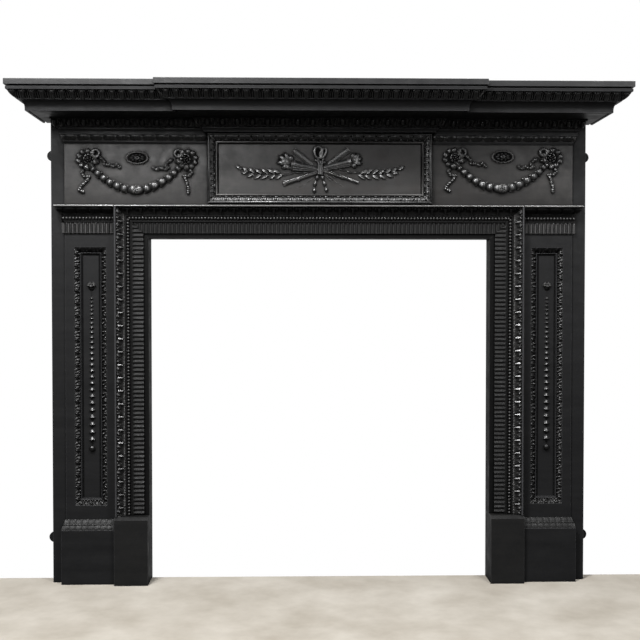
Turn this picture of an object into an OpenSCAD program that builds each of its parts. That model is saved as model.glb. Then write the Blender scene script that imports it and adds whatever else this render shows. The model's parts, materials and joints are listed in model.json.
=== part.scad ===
// Cast iron fireplace surround: an open-backed set of castings bolted together from behind.
// Millimetres, +Z up, floor at Z 0, X centred on the opening, the wall behind at +Y.
// A depth d is measured forward from the wall plane, so it grows towards -Y.

/* [Overall] */
// Height from the floor to the top of the shelf
total_h = 1370; // [1350:1:1420]
// Width of the shelf
shelf_w = 1652; // [1630:1:1720]
// Width across the two side strips
body_w = 1498; // [1480:1:1510]

/* [Fire opening] */
// Clear width of the opening
opening_w = 956; // [940:1:970]
// Clear height of the opening
opening_h = 966; // [930:1:980]

/* [Shelf] */
// Depth of the shelf at its ends, from the wall
shelf_d = 235; // [220:1:250]
// How far the middle of shelf, cornice and bed mould steps forward
break_proj = 20; // [14:1:26]
// Width of the stepped middle of the shelf
break_w = 871; // [850:1:900]
// Height of the shelf's edge
slab_h = 15; // [12:0.5:18]
// Thickness of the shelf's top inside its edge
slab_t = 6; // [5:0.5:8]
// Width of the thick rim under the shelf's edge
rim_w = 20; // [16:1:26]
// Distance from the shelf's edge back to the cornice fascia
fascia_inset = 44; // [40:1:48]
// Height of the whole cornice under the shelf
cornice_h = 60.5; // [58:0.5:66]
// Height of the hollow under the tongues
cavetto_h = 20.5; // [14:0.5:24]
// Gap between the soffit plate and the cornice round it
soffit_gap = 5; // [3:0.5:8]
// Number of ribs between soffit and shelf
rib_count = 4; // [2:1:6]

/* [Castings] */
// Wall thickness of the castings
wall_t = 6; // [4.5:0.5:7]
// Front face of pilasters and frieze, from the wall
face_d = 54; // [50:1:60]
// Width of the side strip that shows beside the pilaster
strip_w = 38.5; // [34:0.5:42]
// How far the side strip laps behind the pilaster and the frieze
lap_w = 20; // [18:0.5:22]

/* [Architrave] */
// Width of the moulded frame round the opening
arch_w = 92; // [90:1:96]
// Width of the plain band next to the opening
band_w = 14; // [12:0.5:15]
// Width of the fluted band
flute_w = 31; // [28:0.5:33]
// Distance from the opening to the bead row
bead_u = 55; // [53:0.5:57]
// Radius of the bead row
bead_r = 4.4; // [3.5:0.1:4.8]
// Distance from the opening to the leaf cyma
leaf_u = 65; // [63:0.5:67]
// Width of the leaf cyma
leaf_w = 21; // [19:0.5:22]
// How far the outer fillet stands in front of the face
arch_proj = 29; // [26:0.5:32]
// How far the caps reach out past the pilasters
cap_end = 24; // [20:0.5:28]
// Spacing of the flutes
flute_pitch = 12.05; // [11.5:0.05:13]

/* [Pilaster] */
// Plain margin beside the sunk panel
panel_margin = 26; // [24:0.5:29]
// Plain height from the plinth block to the sunk panel
panel_foot = 38.5; // [30:0.5:60]
// Plain height from the sunk panel to the cap
panel_head = 37; // [30:0.5:60]
// Width of the moulding round the sunk panel
panel_mould = 20; // [16:0.5:22]
// Depth of the sunk panel below the face
panel_sink = 10; // [8:0.5:12]

/* [Husk drop] */
// Centre of the rosette above the middle of the sunk panel
rosette_rise = 247; // [230:1:260]
// First husk below the rosette
stem_len = 61; // [50:1:75]
// Spacing of the smallest husks
husk_pitch_top = 11; // [10:0.1:12]
// Spacing of the largest husks
husk_pitch_foot = 22.4; // [20:0.1:24]
// Number of husks
husk_count = 23; // [18:1:24]
// Width of the smallest husk
husk_w_top = 9; // [8:0.5:10]
// Width of the largest husk
husk_w_foot = 22; // [19:0.5:24]

/* [Plinths] */
// Height of the plinth blocks under the pilasters
plinth_h = 152; // [140:1:165]
// Front of these plinth blocks, from the wall
plinth_d = 72.5; // [69:0.5:76]
// How far the plinth block reaches out past the pilaster
plinth_side = 10.5; // [8:0.5:14]
// Height of the two leaf mouldings on the plinth block
plinth_mould_h = 28; // [24:1:32]
// Height of the inner blocks under the architrave
block_h = 191; // [186:1:210]
// Front of the inner blocks, from the wall
block_d = 88; // [86:0.5:92]
// Chamfer round the top of the inner blocks
block_chamfer = 8; // [6:0.5:10]

/* [Frieze] */
// Height of the bed mould under the soffit
bed_h = 66; // [62:1:70]
// Projection of the bed mould's top fillet
bed_proj = 38; // [34:1:42]
// How far the bed mould reaches out past the frieze
bed_end = 31; // [28:0.5:34]
// Width of the tablet over the opening
tablet_w = 625; // [600:1:640]
// Gap from the architrave up to the tablet
tablet_gap = 3; // [2:0.5:6]
// Gap from the tablet up to the soffit
tablet_head = 36.5; // [34:0.5:40]
// Thickness of the tablet's plate
tablet_t = 10; // [8:0.5:12]
// Width of the moulded frame on the tablet, as a share of its height
tablet_mould_share = 0.1625; // [0.14:0.0025:0.18]

/* [Swags] */
// Distance from the frieze's outer end to the middle of the swag
swag_in = 202; // [198:1:206]
// Distance between the two flower knots of a swag
knot_span = 271; // [262:1:280]
// Height of the flower knots, as a share of the clear height of the frieze
knot_share = 0.74; // [0.7:0.005:0.76]
// Radius of a flower knot, as the same share
knot_r_share = 0.1525; // [0.13:0.0025:0.165]
// Drop of the garland below the flower knots, as the same share
drop_share = 0.51; // [0.48:0.01:0.54]
// Half height of the oval patera, as the same share
patera_share = 0.1125; // [0.095:0.0025:0.125]
// Half width of the oval patera over its half height
patera_ratio = 1.8; // [1.5:0.05:2.1]

/* [Trophy] */
// Half spread of the crossed torches
torch_spread = 103; // [90:1:110]
// Rise of the torches' heads above the binding, as a share of the tablet's clear height
torch_rise_share = 0.21; // [0.18:0.005:0.24]
// Fall of the torches' feet below the binding, as the same share
torch_fall_share = 0.285; // [0.24:0.005:0.3]
// Reach of the laurel sprays from the middle
laurel_reach = 236; // [220:1:242]
// Number of leaf pairs on a laurel spray
laurel_pairs = 8; // [6:1:10]

/* [Fixings] */
// Radius of the studs cast into the backs
stud_r = 4; // [3:0.5:5]
// Clearance of the stud holes, on the radius
stud_clear = 0.5; // [0.3:0.1:1]
// Distance across the flats of the nuts
nut_af = 13; // [12:0.5:15]
// Thickness of the nuts
nut_t = 6.5; // [5:0.5:8]
// Half width of the joint straps behind the seams
strap_half = 22; // [20:1:24]
// Stud rows along each upright strap
stud_rows = 5; // [3:1:7]
// Radius of the wall lugs
lug_r = 15; // [12:0.5:17]
// Thickness of the wall lugs
lug_t = 5; // [4:0.5:8]
// Radius of the screw hole in a wall lug
lug_hole_r = 3.2; // [2:0.1:4]
// Distance of the lug's hole outside the side strip
lug_out = 6; // [5:0.5:8]
// Height of the lower lugs
lug_low_z = 119; // [100:1:200]
// Height between the lower and the upper lugs
lug_span = 1082; // [1000:1:1110]

/* [Hidden] */
$fn = 48;

iron = [0.17, 0.17, 0.18];
iron_relief = [0.24, 0.23, 0.22];
iron_edge = [0.33, 0.33, 0.35];
iron_back = [0.30, 0.25, 0.22];
steel = [0.42, 0.42, 0.44];

// Heights
slab_z = total_h - slab_h;
soffit_z = slab_z - cornice_h;
arch_top = opening_h + arch_w;
cap_foot = opening_h + band_w - 2;
plinth_top = plinth_h + plinth_mould_h;
bed_z = soffit_z - bed_h;
tablet_z0 = arch_top + tablet_gap;
tablet_z1 = soffit_z - tablet_head;
tablet_mould = tablet_mould_share * (tablet_z1 - tablet_z0);
tablet_clear = tablet_z1 - tablet_z0 - 2 * tablet_mould;
frieze_clear = bed_z - arch_top;

// Half widths
shelf_half = shelf_w / 2;
break_half = break_w / 2;
body_half = body_w / 2;
open_half = opening_w / 2;
arch_half = open_half + arch_w;
pil_half = body_half - strip_w;
tablet_half = tablet_w / 2;
pil_mid = (arch_half + pil_half) / 2;
plinth_half = pil_half + plinth_side;

// Depths
depth = shelf_d + break_proj;
back_d = face_d - wall_t;
strip_d = back_d;
fascia_d = shelf_d - fascia_inset;
fascia_half = shelf_half - fascia_inset;
tablet_d = face_d + tablet_t;
sink_d = face_d - panel_sink;

// The break's sides: where the projecting middle starts at fascia and at frieze
fascia_break = break_half - fascia_inset;
bed_break = tablet_half - 3.5;

// Fine parts of the mouldings
trim = 4;             // thickness of the applied enriched strips
fillet_w = 6;         // width of the architrave's outer fillet
band_step = 3;        // small steps between the members
mill = 2 * total_h;   // longer than any part, for clipping

// The sunk panel and its frame
panel_half = (pil_half - arch_half) / 2 - panel_margin;
panel_z0 = plinth_top + panel_foot;
panel_z1 = cap_foot - panel_head;

function y_at(d) = depth / 2 - d;

// Architrave profile in [u, d]: u is measured outwards from the edge of the opening
leaf_d0 = face_d + 0.45 * arch_proj;
leaf_d1 = face_d + arch_proj - band_step;
flute_d = face_d + 7;
bead_bed = face_d + 8;

arch_body = [
    [0, 0], [wall_t, 0], [wall_t, back_d], [arch_w, back_d], [arch_w, face_d + arch_proj],
    [arch_w - fillet_w, face_d + arch_proj], [leaf_u + leaf_w, leaf_d1 - trim],
    [leaf_u, leaf_d0 - trim], [leaf_u, bead_bed + 2], [bead_u + bead_r + 1, bead_bed + 2],
    [bead_u + bead_r + 1, bead_bed], [bead_u - bead_r - 1, bead_bed],
    [bead_u - bead_r - 1, bead_bed + 1], [band_w + flute_w, bead_bed + 1],
    [band_w + flute_w, flute_d - trim], [band_w, flute_d - trim], [band_w, face_d], [0, face_d]];
arch_leaf = [
    [leaf_u, leaf_d0 - trim], [leaf_u + leaf_w, leaf_d1 - trim], [leaf_u + leaf_w, leaf_d1],
    [leaf_u + leaf_w * 0.7, leaf_d1 - 1.5], [leaf_u + leaf_w * 0.3, leaf_d0 + 1.5], [leaf_u, leaf_d0]];
arch_flute = [
    [band_w, flute_d - trim], [band_w + flute_w, flute_d - trim],
    [band_w + flute_w, flute_d], [band_w, flute_d]];
// half a turn of the bead row, standing on its bed
arch_bead = concat(
    [[bead_u + bead_r, bead_bed], [bead_u + bead_r, bead_bed + 1]],
    [for (a = [15:15:165]) [bead_u + bead_r * cos(a), bead_bed + 1 + bead_r * sin(a)]],
    [[bead_u - bead_r, bead_bed + 1], [bead_u - bead_r, bead_bed]]);

// The cap repeats the head's profile over the pilaster, from its lowest fillet up
cap_u0 = cap_foot - opening_h;
cap_profile = [
    [cap_u0, face_d], [cap_u0, face_d + band_step], [band_w + 1, face_d + band_step],
    [band_w + 1, flute_d], [band_w + flute_w, flute_d], [band_w + flute_w, bead_bed + 1],
    [bead_u - bead_r, bead_bed + 1], [bead_u - bead_r * 0.7, bead_bed + 1 + bead_r * 0.7],
    [bead_u, bead_bed + 1 + bead_r], [bead_u + bead_r * 0.7, bead_bed + 1 + bead_r * 0.7],
    [bead_u + bead_r, bead_bed + 2], [leaf_u, bead_bed + 2],
    [leaf_u, leaf_d0], [leaf_u + leaf_w, leaf_d1], [arch_w - fillet_w, face_d + arch_proj],
    [arch_w, face_d + arch_proj], [arch_w, face_d]];

// Cornice profile in [offset from the fascia, height above the soffit], foot to top
cavetto_r = fascia_inset * 0.27;
tongue_z0 = cornice_h - 28;
tongue_z1 = cornice_h - 11.5;
tongue_p0 = fascia_inset * 0.39;
tongue_p1 = fascia_inset * 0.86;
neck_p = fascia_inset - 8;
cornice_foot = concat(
    [[0, 0], [0, tongue_z0 - 6 - cavetto_h]],
    [for (a = [10:10:90]) [cavetto_r * (1 - cos(a)), tongue_z0 - 6 - cavetto_h * (1 - sin(a))]],
    [[tongue_p0 - 1, tongue_z0 - 6], [tongue_p0 - 1, tongue_z0]]);
cornice_top = [
    [fascia_inset - 4, tongue_z1], [fascia_inset - 4, cornice_h - 4],
    [neck_p, cornice_h - 4], [neck_p, cornice_h]];
cornice_bed = concat(cornice_foot,
    [[tongue_p0 - trim, tongue_z0], [tongue_p1 - trim, tongue_z1]], cornice_top);
tongue_face = [
    [tongue_p0, tongue_z0], [tongue_p0 + 9, tongue_z0 + 4.5], [tongue_p1 - 3, tongue_z1 - 4.5],
    [tongue_p1, tongue_z1]];

// Bed mould profile in [offset from the face, height above its foot], foot to top
egg_z0 = bed_h - 24;
egg_z1 = bed_h - 4;
egg_p0 = bed_proj - 19;
egg_p1 = bed_proj - 2;
leaf_z0 = 8;
leaf_z1 = 24.5;
bed_foot = [[2, 0], [band_step, 3], [band_step, leaf_z0]];
bed_leaf_bed = [[0.5, leaf_z0], [7, leaf_z1]];
bed_leaf_face = [[4, leaf_z0], [6, leaf_z0 + 6], [9.5, leaf_z1 - 4], [11, leaf_z1]];
bed_band = [[12, leaf_z1], [12, 33], [13, 33], [15, 38.5], [17, 38.5], [17, egg_z0]];
bed_egg_bed = [[egg_p0 - trim, egg_z0], [egg_p1 - trim, egg_z1]];
bed_egg_face = [
    [egg_p0, egg_z0], [egg_p0 + 8, egg_z0 + 4], [egg_p1 - 3, egg_z1 - 8], [egg_p1, egg_z1]];
bed_top = [[bed_proj, egg_z1], [bed_proj, bed_h]];
bed_body = concat(bed_foot, bed_leaf_bed, bed_band, bed_egg_bed, bed_top);

// ---- helpers -----------------------------------------------------------------------------

// A block between two X, two depths and two heights
module block(x0, x1, d0, d1, z0, z1)
    translate([x0, y_at(d1), z0]) cube([x1 - x0, d1 - d0, z1 - z0]);

// A [d, z] section run along X
module run_x(x0, x1, pts)
    translate([x0, y_at(0), 0]) rotate([90, 0, 90])
        linear_extrude(x1 - x0) polygon([for (p = pts) [-p[0], p[1]]]);

// An [x, d] section run up Z
module run_z(z0, z1, pts)
    translate([0, 0, z0]) linear_extrude(z1 - z0) polygon([for (p = pts) [p[0], y_at(p[1])]]);

// An [x, z] outline run forward from d0 to d1
module run_d(d0, d1, pts)
    translate([0, y_at(d0), 0]) rotate([90, 0, 0]) linear_extrude(d1 - d0) polygon(pts);

// The right-hand piece, or its mirror image on the left
module side(s) mirror([s < 0 ? 1 : 0, 0, 0]) children();

// A flat outline in [x, z] raised on a face, from depth d0 to d1
module relief(d0, d1)
    translate([0, y_at(d0), 0]) rotate([90, 0, 0]) linear_extrude(d1 - d0) children();

// Outlines for reliefs: a spot, a tapering bar from p to q, and a lens-shaped leaf that starts at
// p and points a degrees above +X
module spot(p, r) translate(p) circle(r);
module bar(p, q, w1, w2) {
    v = (q - p) / norm(q - p);
    n = [-v[1], v[0]] / 2;
    polygon([p - w1 * n, q - w2 * n, q + w2 * n, p + w1 * n]);
}
module leaf(p, a, len, w) translate(p) rotate(a) polygon(concat(
    [for (t = [0:30:150]) [len * t / 180, -w / 2 * sin(t)]],
    [for (t = [180:-30:30]) [len * t / 180, w / 2 * sin(t)]]));

// A round disc on a face, from depth d0 to d1
module disc(p, r, d0, d1)
    translate([p[0], y_at(d0), p[1]]) rotate([90, 0, 0]) cylinder(h = d1 - d0, r = r);

// What stands on a face at depth d: everything behind that face is cut away
module on_face(d) intersection() {
    children();
    block(-mill, mill, d, d + mill, -mill, mill);
}

// A solid of [offset, height] profile p whose front is at base_d and whose ends are at base_half,
// mitred at both front corners; ends grow by end_k of the offset
module mitred(base_half, base_d, z, p, end_k = 1) {
    n = len(p) - 1;
    zs = [p[0][1] + z, p[n][1] + z];
    intersection() {
        run_x(-mill, mill, concat([[0, zs[0]]], [for (q = p) [base_d + q[0], q[1] + z]], [[0, zs[1]]]));
        run_d(0, mill, concat(
            [for (q = p) [base_half + end_k * q[0], q[1] + z]],
            [for (i = [n:-1:0]) [-base_half - end_k * p[i][0], p[i][1] + z]]));
    }
}

// The same with the projecting middle
module mitred_break(p, end_k = 1) {
    mitred(fascia_half, fascia_d, soffit_z, p, end_k);
    mitred(fascia_break, fascia_d + break_proj, soffit_z, p, end_k);
}

// ---- shelf and cornice ---------------------------------------------------------------------

// The plan of the shelf, drawn in by an inset
module shelf_layer(inset, d0, z0, z1) {
    block(-shelf_half + inset, shelf_half - inset, d0, shelf_d - inset, z0, z1);
    block(-break_half + inset, break_half - inset, d0, depth - inset, z0, z1);
}

module mantel_shelf() color(iron_edge) difference() {
    shelf_layer(0, 0, slab_z, total_h);
    shelf_layer(rim_w, rim_w, slab_z - 1, total_h - slab_t);
}

module cornice_moulding() color(iron) difference() {
    mitred_break(cornice_bed);
    cornice_hollow(-wall_t, -1, tongue_z0 - 6);
    cornice_hollow(tongue_p0 - trim - wall_t, tongue_z0 - 6, cornice_h + 1);
}

// The space inside the cornice, open at the wall
module cornice_hollow(p, z0, z1) {
    block(-fascia_half - p, fascia_half + p, -1, fascia_d + p, soffit_z + z0, soffit_z + z1);
    block(-fascia_break - p, fascia_break + p, -1, fascia_d + break_proj + p,
        soffit_z + z0, soffit_z + z1);
}

module cornice_tongues() color(iron_relief) difference() {
    mitred_break(tongue_face);
    mitred_break([[tongue_p0 - trim, tongue_z0 - 1], [tongue_p0 - trim, tongue_z0],
        [tongue_p1 - trim, tongue_z1], [tongue_p1 - trim, tongue_z1 + 1]]);
}

module soffit_plate() color(iron) {
    p = wall_t + soffit_gap;
    block(-fascia_half + p, fascia_half - p, 0, fascia_d - p, soffit_z, soffit_z + wall_t);
    block(-fascia_break + p, fascia_break - p, 0, fascia_d + break_proj - p,
        soffit_z, soffit_z + wall_t);
}

// Each rib has a foot on the soffit plate and a web up to the shelf
module shelf_ribs() color(iron_back) {
    reach = fascia_half - 4 * rim_w;
    for (i = [0:rib_count - 1]) {
        x = -reach + 2 * reach * i / (rib_count - 1);
        block(x, x + wall_t, rim_w + 2, fascia_d - 2 * rim_w, soffit_z + wall_t, total_h - slab_t);
        block(x, x + 4 * wall_t, rim_w + 2, fascia_d - 2 * rim_w,
            soffit_z + wall_t, soffit_z + 2 * wall_t);
    }
}

// ---- frieze --------------------------------------------------------------------------------

module frieze_plate() color(iron) block(-pil_half, pil_half, back_d, face_d, arch_top, soffit_z);

// The bed mould over the tablet, which breaks forward with the shelf
module bed_centre(p) intersection() {
    mitred(bed_break, face_d + break_proj, bed_z, p);
    block(-mill, mill, face_d, mill, tablet_z1, soffit_z);
}

// The bed mould right of the tablet, returned at its outer end as far back as the strip
module bed_run(p) difference() {
    intersection() {
        mitred(pil_half, face_d, bed_z, p, bed_end / bed_proj);
        union() {
            block(tablet_half, pil_half, face_d, mill, bed_z, soffit_z);
            block(pil_half, mill, strip_d, mill, bed_z, soffit_z);
        }
    }
    mitred(bed_break, face_d + break_proj, bed_z,
        concat(bed_foot, bed_leaf_face, bed_band, bed_egg_face, bed_top));
}

module bed_mould_centre() color(iron) bed_centre(bed_body);
module bed_mould(s) color(iron) side(s) bed_run(bed_body);
module bed_mould_left() bed_mould(-1);
module bed_mould_right() bed_mould(1);

// The part of an enriched face that stands in front of its bed
module egg_and_dart_centre() color(iron_relief) difference() {
    bed_centre(bed_egg_face);
    bed_centre(bed_egg_bed);
}
module egg_and_dart(s) color(iron_relief) side(s) difference() {
    bed_run(bed_egg_face);
    bed_run(bed_egg_bed);
}
module egg_and_dart_left() egg_and_dart(-1);
module egg_and_dart_right() egg_and_dart(1);

module frieze_leaf(s) color(iron_relief) side(s) difference() {
    bed_run(bed_leaf_face);
    bed_run(bed_leaf_bed);
}
module frieze_leaf_left() frieze_leaf(-1);
module frieze_leaf_right() frieze_leaf(1);

// A swag: a garland between two flower knots, with tails, its members k times their full width.
// Both sides are the same casting. The husks are spaced evenly along the garland's curve.
knot_r = knot_r_share * frieze_clear;
knot_z = arch_top + knot_share * frieze_clear;
swag_drop = drop_share * frieze_clear;
swag_husks = 2 * round(0.6 * (knot_span / 2 + 2 * swag_drop) / knot_r) + 1;
module swag_outline(mid, k) {
    half = knot_span / 2 - 0.67 * knot_r;
    for (i = [0:swag_husks - 1]) {
        t = sin(60 * (-1 + 2 * i / (swag_husks - 1))) / sin(60);
        spot([mid + half * t, knot_z - swag_drop + (swag_drop - 0.85 * knot_r) * pow(abs(t), 2.7)],
            k * knot_r * (0.52 - 0.08 * abs(t)));
    }
    for (s = [-1, 1]) {
        knot = [mid + s * knot_span / 2, knot_z];
        for (a = [0:60:300])
            spot(knot + 0.6 * knot_r * [cos(a), sin(a)], 0.42 * k * knot_r);
        spot(knot, 0.5 * k * knot_r);
        for (i = [0:6])     // the hanging tail: wavy outside, leaning outwards on the other side
            spot(knot + knot_r * [s < 0 ? -0.46 + 0.35 * sin(60 * i) : 0.08 + 0.115 * i, -0.88 - 0.385 * i],
                k * knot_r * (0.35 - 0.015 * i));
        for (i = [0:5])     // the ribbon that runs in under the patera
            spot(knot + knot_r * [-s * (0.96 + 0.385 * i), 0.23 - 0.173 * i],
                k * knot_r * (0.31 - 0.012 * i));
    }
}
module swag(mid) color(iron_relief) {
    relief(face_d, face_d + 6) swag_outline(mid, 1);
    relief(face_d + 6, face_d + 12) swag_outline(mid, 0.6);
}
swag_mid = pil_half - swag_in;
module swag_left() swag(-swag_mid);
module swag_right() swag(swag_mid);

// An oval patera: a stepped plate with a button
module patera(mid) color(iron_relief) {
    z = knot_z + 0.3 * knot_r;
    oval(mid, z, 1, face_d, face_d + 4);
    oval(mid, z, 0.72, face_d + 4, face_d + 7);
    oval(mid, z, 0.3, face_d + 7, face_d + 10);
}
patera_h = patera_share * frieze_clear;
module oval(x, z, k, d0, d1) run_d(d0, d1,
    [for (a = [0:10:350]) [x + k * patera_ratio * patera_h * cos(a), z + k * patera_h * sin(a)]]);
module patera_left() patera(-swag_mid);
module patera_right() patera(swag_mid);

// ---- tablet --------------------------------------------------------------------------------

module tablet_panel() color(iron)
    block(-tablet_half, tablet_half, face_d, tablet_d, tablet_z0, tablet_z1);

// A mitred frame of [u, d] section, u measured inwards from its outer edge
function level(s, z0, z1, u) = s > 0 ? z1 - u : z0 + u;
module ring(mid, half, z0, z1, w, pts) {
    for (s = [-1, 1]) {
        intersection() {
            run_z(z0, z1, [for (p = pts) [mid + s * (half - p[0]), p[1]]]);
            run_d(0, mill, [[mid + s * half, z0], [mid + s * half, z1],
                [mid + s * (half - w), z1 - w], [mid + s * (half - w), z0 + w]]);
        }
        intersection() {
            run_x(mid - half, mid + half, [for (p = pts) [p[1], level(s, z0, z1, p[0])]]);
            run_d(0, mill, [[mid - half, level(s, z0, z1, 0)], [mid + half, level(s, z0, z1, 0)],
                [mid + half - w, level(s, z0, z1, w)], [mid - half + w, level(s, z0, z1, w)]]);
        }
    }
}

module tablet_frame() color(iron_relief)
    ring(0, tablet_half, tablet_z0, tablet_z1, tablet_mould, [
        [0, tablet_d], [0, tablet_d + 10], [5, tablet_d + 10], [6, tablet_d + 8],
        [tablet_mould - 10, tablet_d + 4], [tablet_mould - 9, tablet_d + 5],
        [tablet_mould - 5, tablet_d + 5], [tablet_mould - 4, tablet_d + 2],
        [tablet_mould, tablet_d + 2], [tablet_mould, tablet_d]]);

torch_w = tablet_clear / 10;                                   // the trophy's own unit of width
tie = [0, (tablet_z0 + tablet_z1) / 2 - 0.4 * torch_w];        // where the trophy is bound

// Crossed torches, two upright blades, a bow and two husk tails, all bound in the middle
module trophy_outline(k) for (s = [-1, 1]) {
    rise = torch_rise_share * tablet_clear;
    flame = tie + [s * torch_spread, rise];
    head = tie + [s * torch_spread * 0.72, rise * 0.8];
    foot = tie - [s * torch_spread, torch_fall_share * tablet_clear];
    bar(foot, tie, 0.5 * k * torch_w, 0.9 * k * torch_w);
    bar(tie, head, 0.9 * k * torch_w, 2 * k * torch_w);
    bar(head, flame, 2.3 * k * torch_w, 1.5 * k * torch_w);
    spot(flame, 1.25 * k * torch_w);
    bar(tie, tie + [s * torch_spread * 0.7, rise * 2], 0.6 * k * torch_w, 1.35 * k * torch_w);
    for (i = [0:4])
        spot(tie + torch_w * [s * (0.22 + 0.26 * i), -1.05 - 0.68 * i], k * torch_w * (0.64 - 0.06 * i));
    spot(tie + torch_w * [s * 0.68, 3.15], 0.75 * k * torch_w);
    bar(tie - [0, 0.9 * torch_w], tie + [0, 3.9 * torch_w], 1.2 * k * torch_w, 0.9 * k * torch_w);
}
module trophy() color(iron_relief) {
    relief(tablet_d, tablet_d + 5) trophy_outline(1);
    relief(tablet_d + 5, tablet_d + 9) trophy_outline(0.6);
}

// A laurel spray: a stem with pairs of leaves, rising to its tip
module laurel(s) color(iron_relief) side(s) relief(tablet_d, tablet_d + 5) {
    root = tie + [torch_spread * 0.8, -0.6 * torch_w];
    tip = tie + [laurel_reach - 1.5 * torch_w, 0.6 * torch_w];
    bar(root, tip, 0.38 * torch_w, 0.23 * torch_w);
    for (i = [0:laurel_pairs - 1], up = [-1, 1])
        leaf(root + (0.1 + 0.8 * i / (laurel_pairs - 1)) * (tip - root) - torch_w * [0.15, 0.08 * up],
            up * 32, torch_w * (2.25 - 0.08 * i), 0.75 * torch_w);
    leaf(tip - [0.45 * torch_w, 0], 12, 1.95 * torch_w, 0.68 * torch_w);
}
module laurel_left() laurel(-1);
module laurel_right() laurel(1);

// ---- architrave ----------------------------------------------------------------------------

// The right-hand upright of the frame round the opening, mitred at its top
module upright(pts) intersection() {
    run_z(block_h, arch_top, [for (p = pts) [open_half + p[0], p[1]]]);
    run_d(-1, mill, [[open_half, block_h], [arch_half, block_h], [arch_half, arch_top],
        [open_half, opening_h]]);
}

// The member over the opening, mitred at both ends
module lintel(pts) intersection() {
    run_x(-arch_half, arch_half, [for (p = pts) [p[1], opening_h + p[0]]]);
    run_d(-1, mill, [[-open_half, opening_h], [open_half, opening_h],
        [arch_half, arch_top], [-arch_half, arch_top]]);
}

// Flutes are shallow grooves across the band, with a margin at each end
flute_r = 0.4 * flute_pitch;
flute_axis_d = flute_d + 0.15 * flute_pitch;
module upright_flutes() {
    n = floor((arch_top - block_h) / flute_pitch) - 1;
    for (i = [0:n])
        translate([open_half + band_w + 3, y_at(flute_axis_d), block_h + (i + 0.5) * flute_pitch])
            rotate([0, 90, 0]) cylinder(h = flute_w - 6, r = flute_r);
}
module lintel_flutes(x0, x1) {
    n = floor((x1 - x0) / flute_pitch);
    start = (x0 + x1) / 2 - (n - 1) * flute_pitch / 2;
    for (i = [0:n - 1])
        translate([start + i * flute_pitch, y_at(flute_axis_d), opening_h + band_w + 3])
            cylinder(h = flute_w - 6, r = flute_r);
}

module architrave_head() color(iron) lintel(arch_body);
module architrave_jamb(s) color(iron) side(s) upright(arch_body);
module architrave_jamb_left() architrave_jamb(-1);
module architrave_jamb_right() architrave_jamb(1);

module leaf_strip_head() color(iron_relief) lintel(arch_leaf);
module leaf_strip(s) color(iron_relief) side(s) upright(arch_leaf);
module leaf_strip_left() leaf_strip(-1);
module leaf_strip_right() leaf_strip(1);

module bead_row_head() color(iron_relief) lintel(arch_bead);
module bead_row(s) color(iron_relief) side(s) upright(arch_bead);
module bead_row_left() bead_row(-1);
module bead_row_right() bead_row(1);

module flute_strip_head() color(iron_relief) difference() {
    lintel(arch_flute);
    lintel_flutes(-open_half - band_w, open_half + band_w);
}
module flute_strip(s) color(iron_relief) side(s) difference() {
    upright(arch_flute);
    upright_flutes();
}
module flute_strip_left() flute_strip(-1);
module flute_strip_right() flute_strip(1);

// ---- pilasters -----------------------------------------------------------------------------

module pilaster(s) color(iron) side(s) difference() {
    block(arch_half, pil_half, back_d, face_d, 0, arch_top);
    block(pil_mid - panel_half, pil_mid + panel_half, 0, mill, panel_z0, panel_z1);
}
module pilaster_left() pilaster(-1);
module pilaster_right() pilaster(1);

module sunk_panel(s) color(iron) side(s)
    block(pil_mid - panel_half, pil_mid + panel_half, sink_d - wall_t, sink_d, panel_z0, panel_z1);
module sunk_panel_left() sunk_panel(-1);
module sunk_panel_right() sunk_panel(1);

module panel_frame(s) color(iron_relief) side(s)
    ring(pil_mid, panel_half, panel_z0, panel_z1, panel_mould, [
        [0, sink_d], [0, face_d], [2, face_d + 2], [4, face_d + 2], [5, face_d],
        [panel_mould - 4, sink_d + 3.5], [panel_mould - 1, sink_d + 3.5],
        [panel_mould, sink_d + 2], [panel_mould, sink_d]]);
module panel_frame_left() panel_frame(-1);
module panel_frame_right() panel_frame(1);

// A rosette, a stem and a string of bell-shaped husks that grow towards the foot
panel_mid = (panel_z0 + panel_z1) / 2;
rosette = [pil_mid, panel_mid + rosette_rise];
function husk_fall(i) = stem_len + husk_pitch_top * i
    + (husk_pitch_foot - husk_pitch_top) * i * i / (2 * (husk_count - 1));
function husk_w(i) = husk_w_top + (husk_w_foot - husk_w_top) * i / (husk_count - 1);
// Half of a husk's outline as it turns round the drop's axis
function husk_turn(i) = let (w = husk_w(i), z = -husk_fall(i), h = husk_fall(i + 1) - husk_fall(i))
    [[0.24 * w, z], [0.42 * w, z - 0.3 * h], [0.5 * w, z - 0.75 * h], [0.26 * w, z - 0.85 * h]];
module husk_drop(s) color(iron_relief) side(s) {
    relief(sink_d, sink_d + 4) {
        spot(rosette, 6);
        for (a = [0:60:300])
            spot(rosette + 7 * [cos(a), sin(a)], 4.2);
    }
    foot = -husk_fall(husk_count);
    on_face(sink_d) translate([rosette[0], y_at(sink_d + 1), rosette[1]]) rotate_extrude()
        polygon(concat([[0, -6], [1.6, -6], [1.6, -stem_len]],
            [for (i = [0:husk_count - 1]) each husk_turn(i)],
            [[0.3 * husk_w_foot, foot], [0.42 * husk_w_foot, foot - 5],
                [0.3 * husk_w_foot, foot - 11], [0, foot - 14]]));
}
module husk_drop_left() husk_drop(-1);
module husk_drop_right() husk_drop(1);

module pilaster_cap(s) color(iron_relief) side(s) difference() {
    intersection() {
        mitred(pil_half, 0, opening_h, [for (p = cap_profile) [p[1], p[0]]], 1);
        union() {
            block(arch_half, pil_half, face_d, mill, cap_foot, arch_top);
            intersection() {
                block(pil_half, mill, strip_d, mill, cap_foot, arch_top);
                run_d(0, mill, cap_end_outline);
            }
        }
    }
    lintel_flutes(arch_half + 2, pil_half + 2);
}
module pilaster_cap_left() pilaster_cap(-1);
module pilaster_cap_right() pilaster_cap(1);

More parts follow.
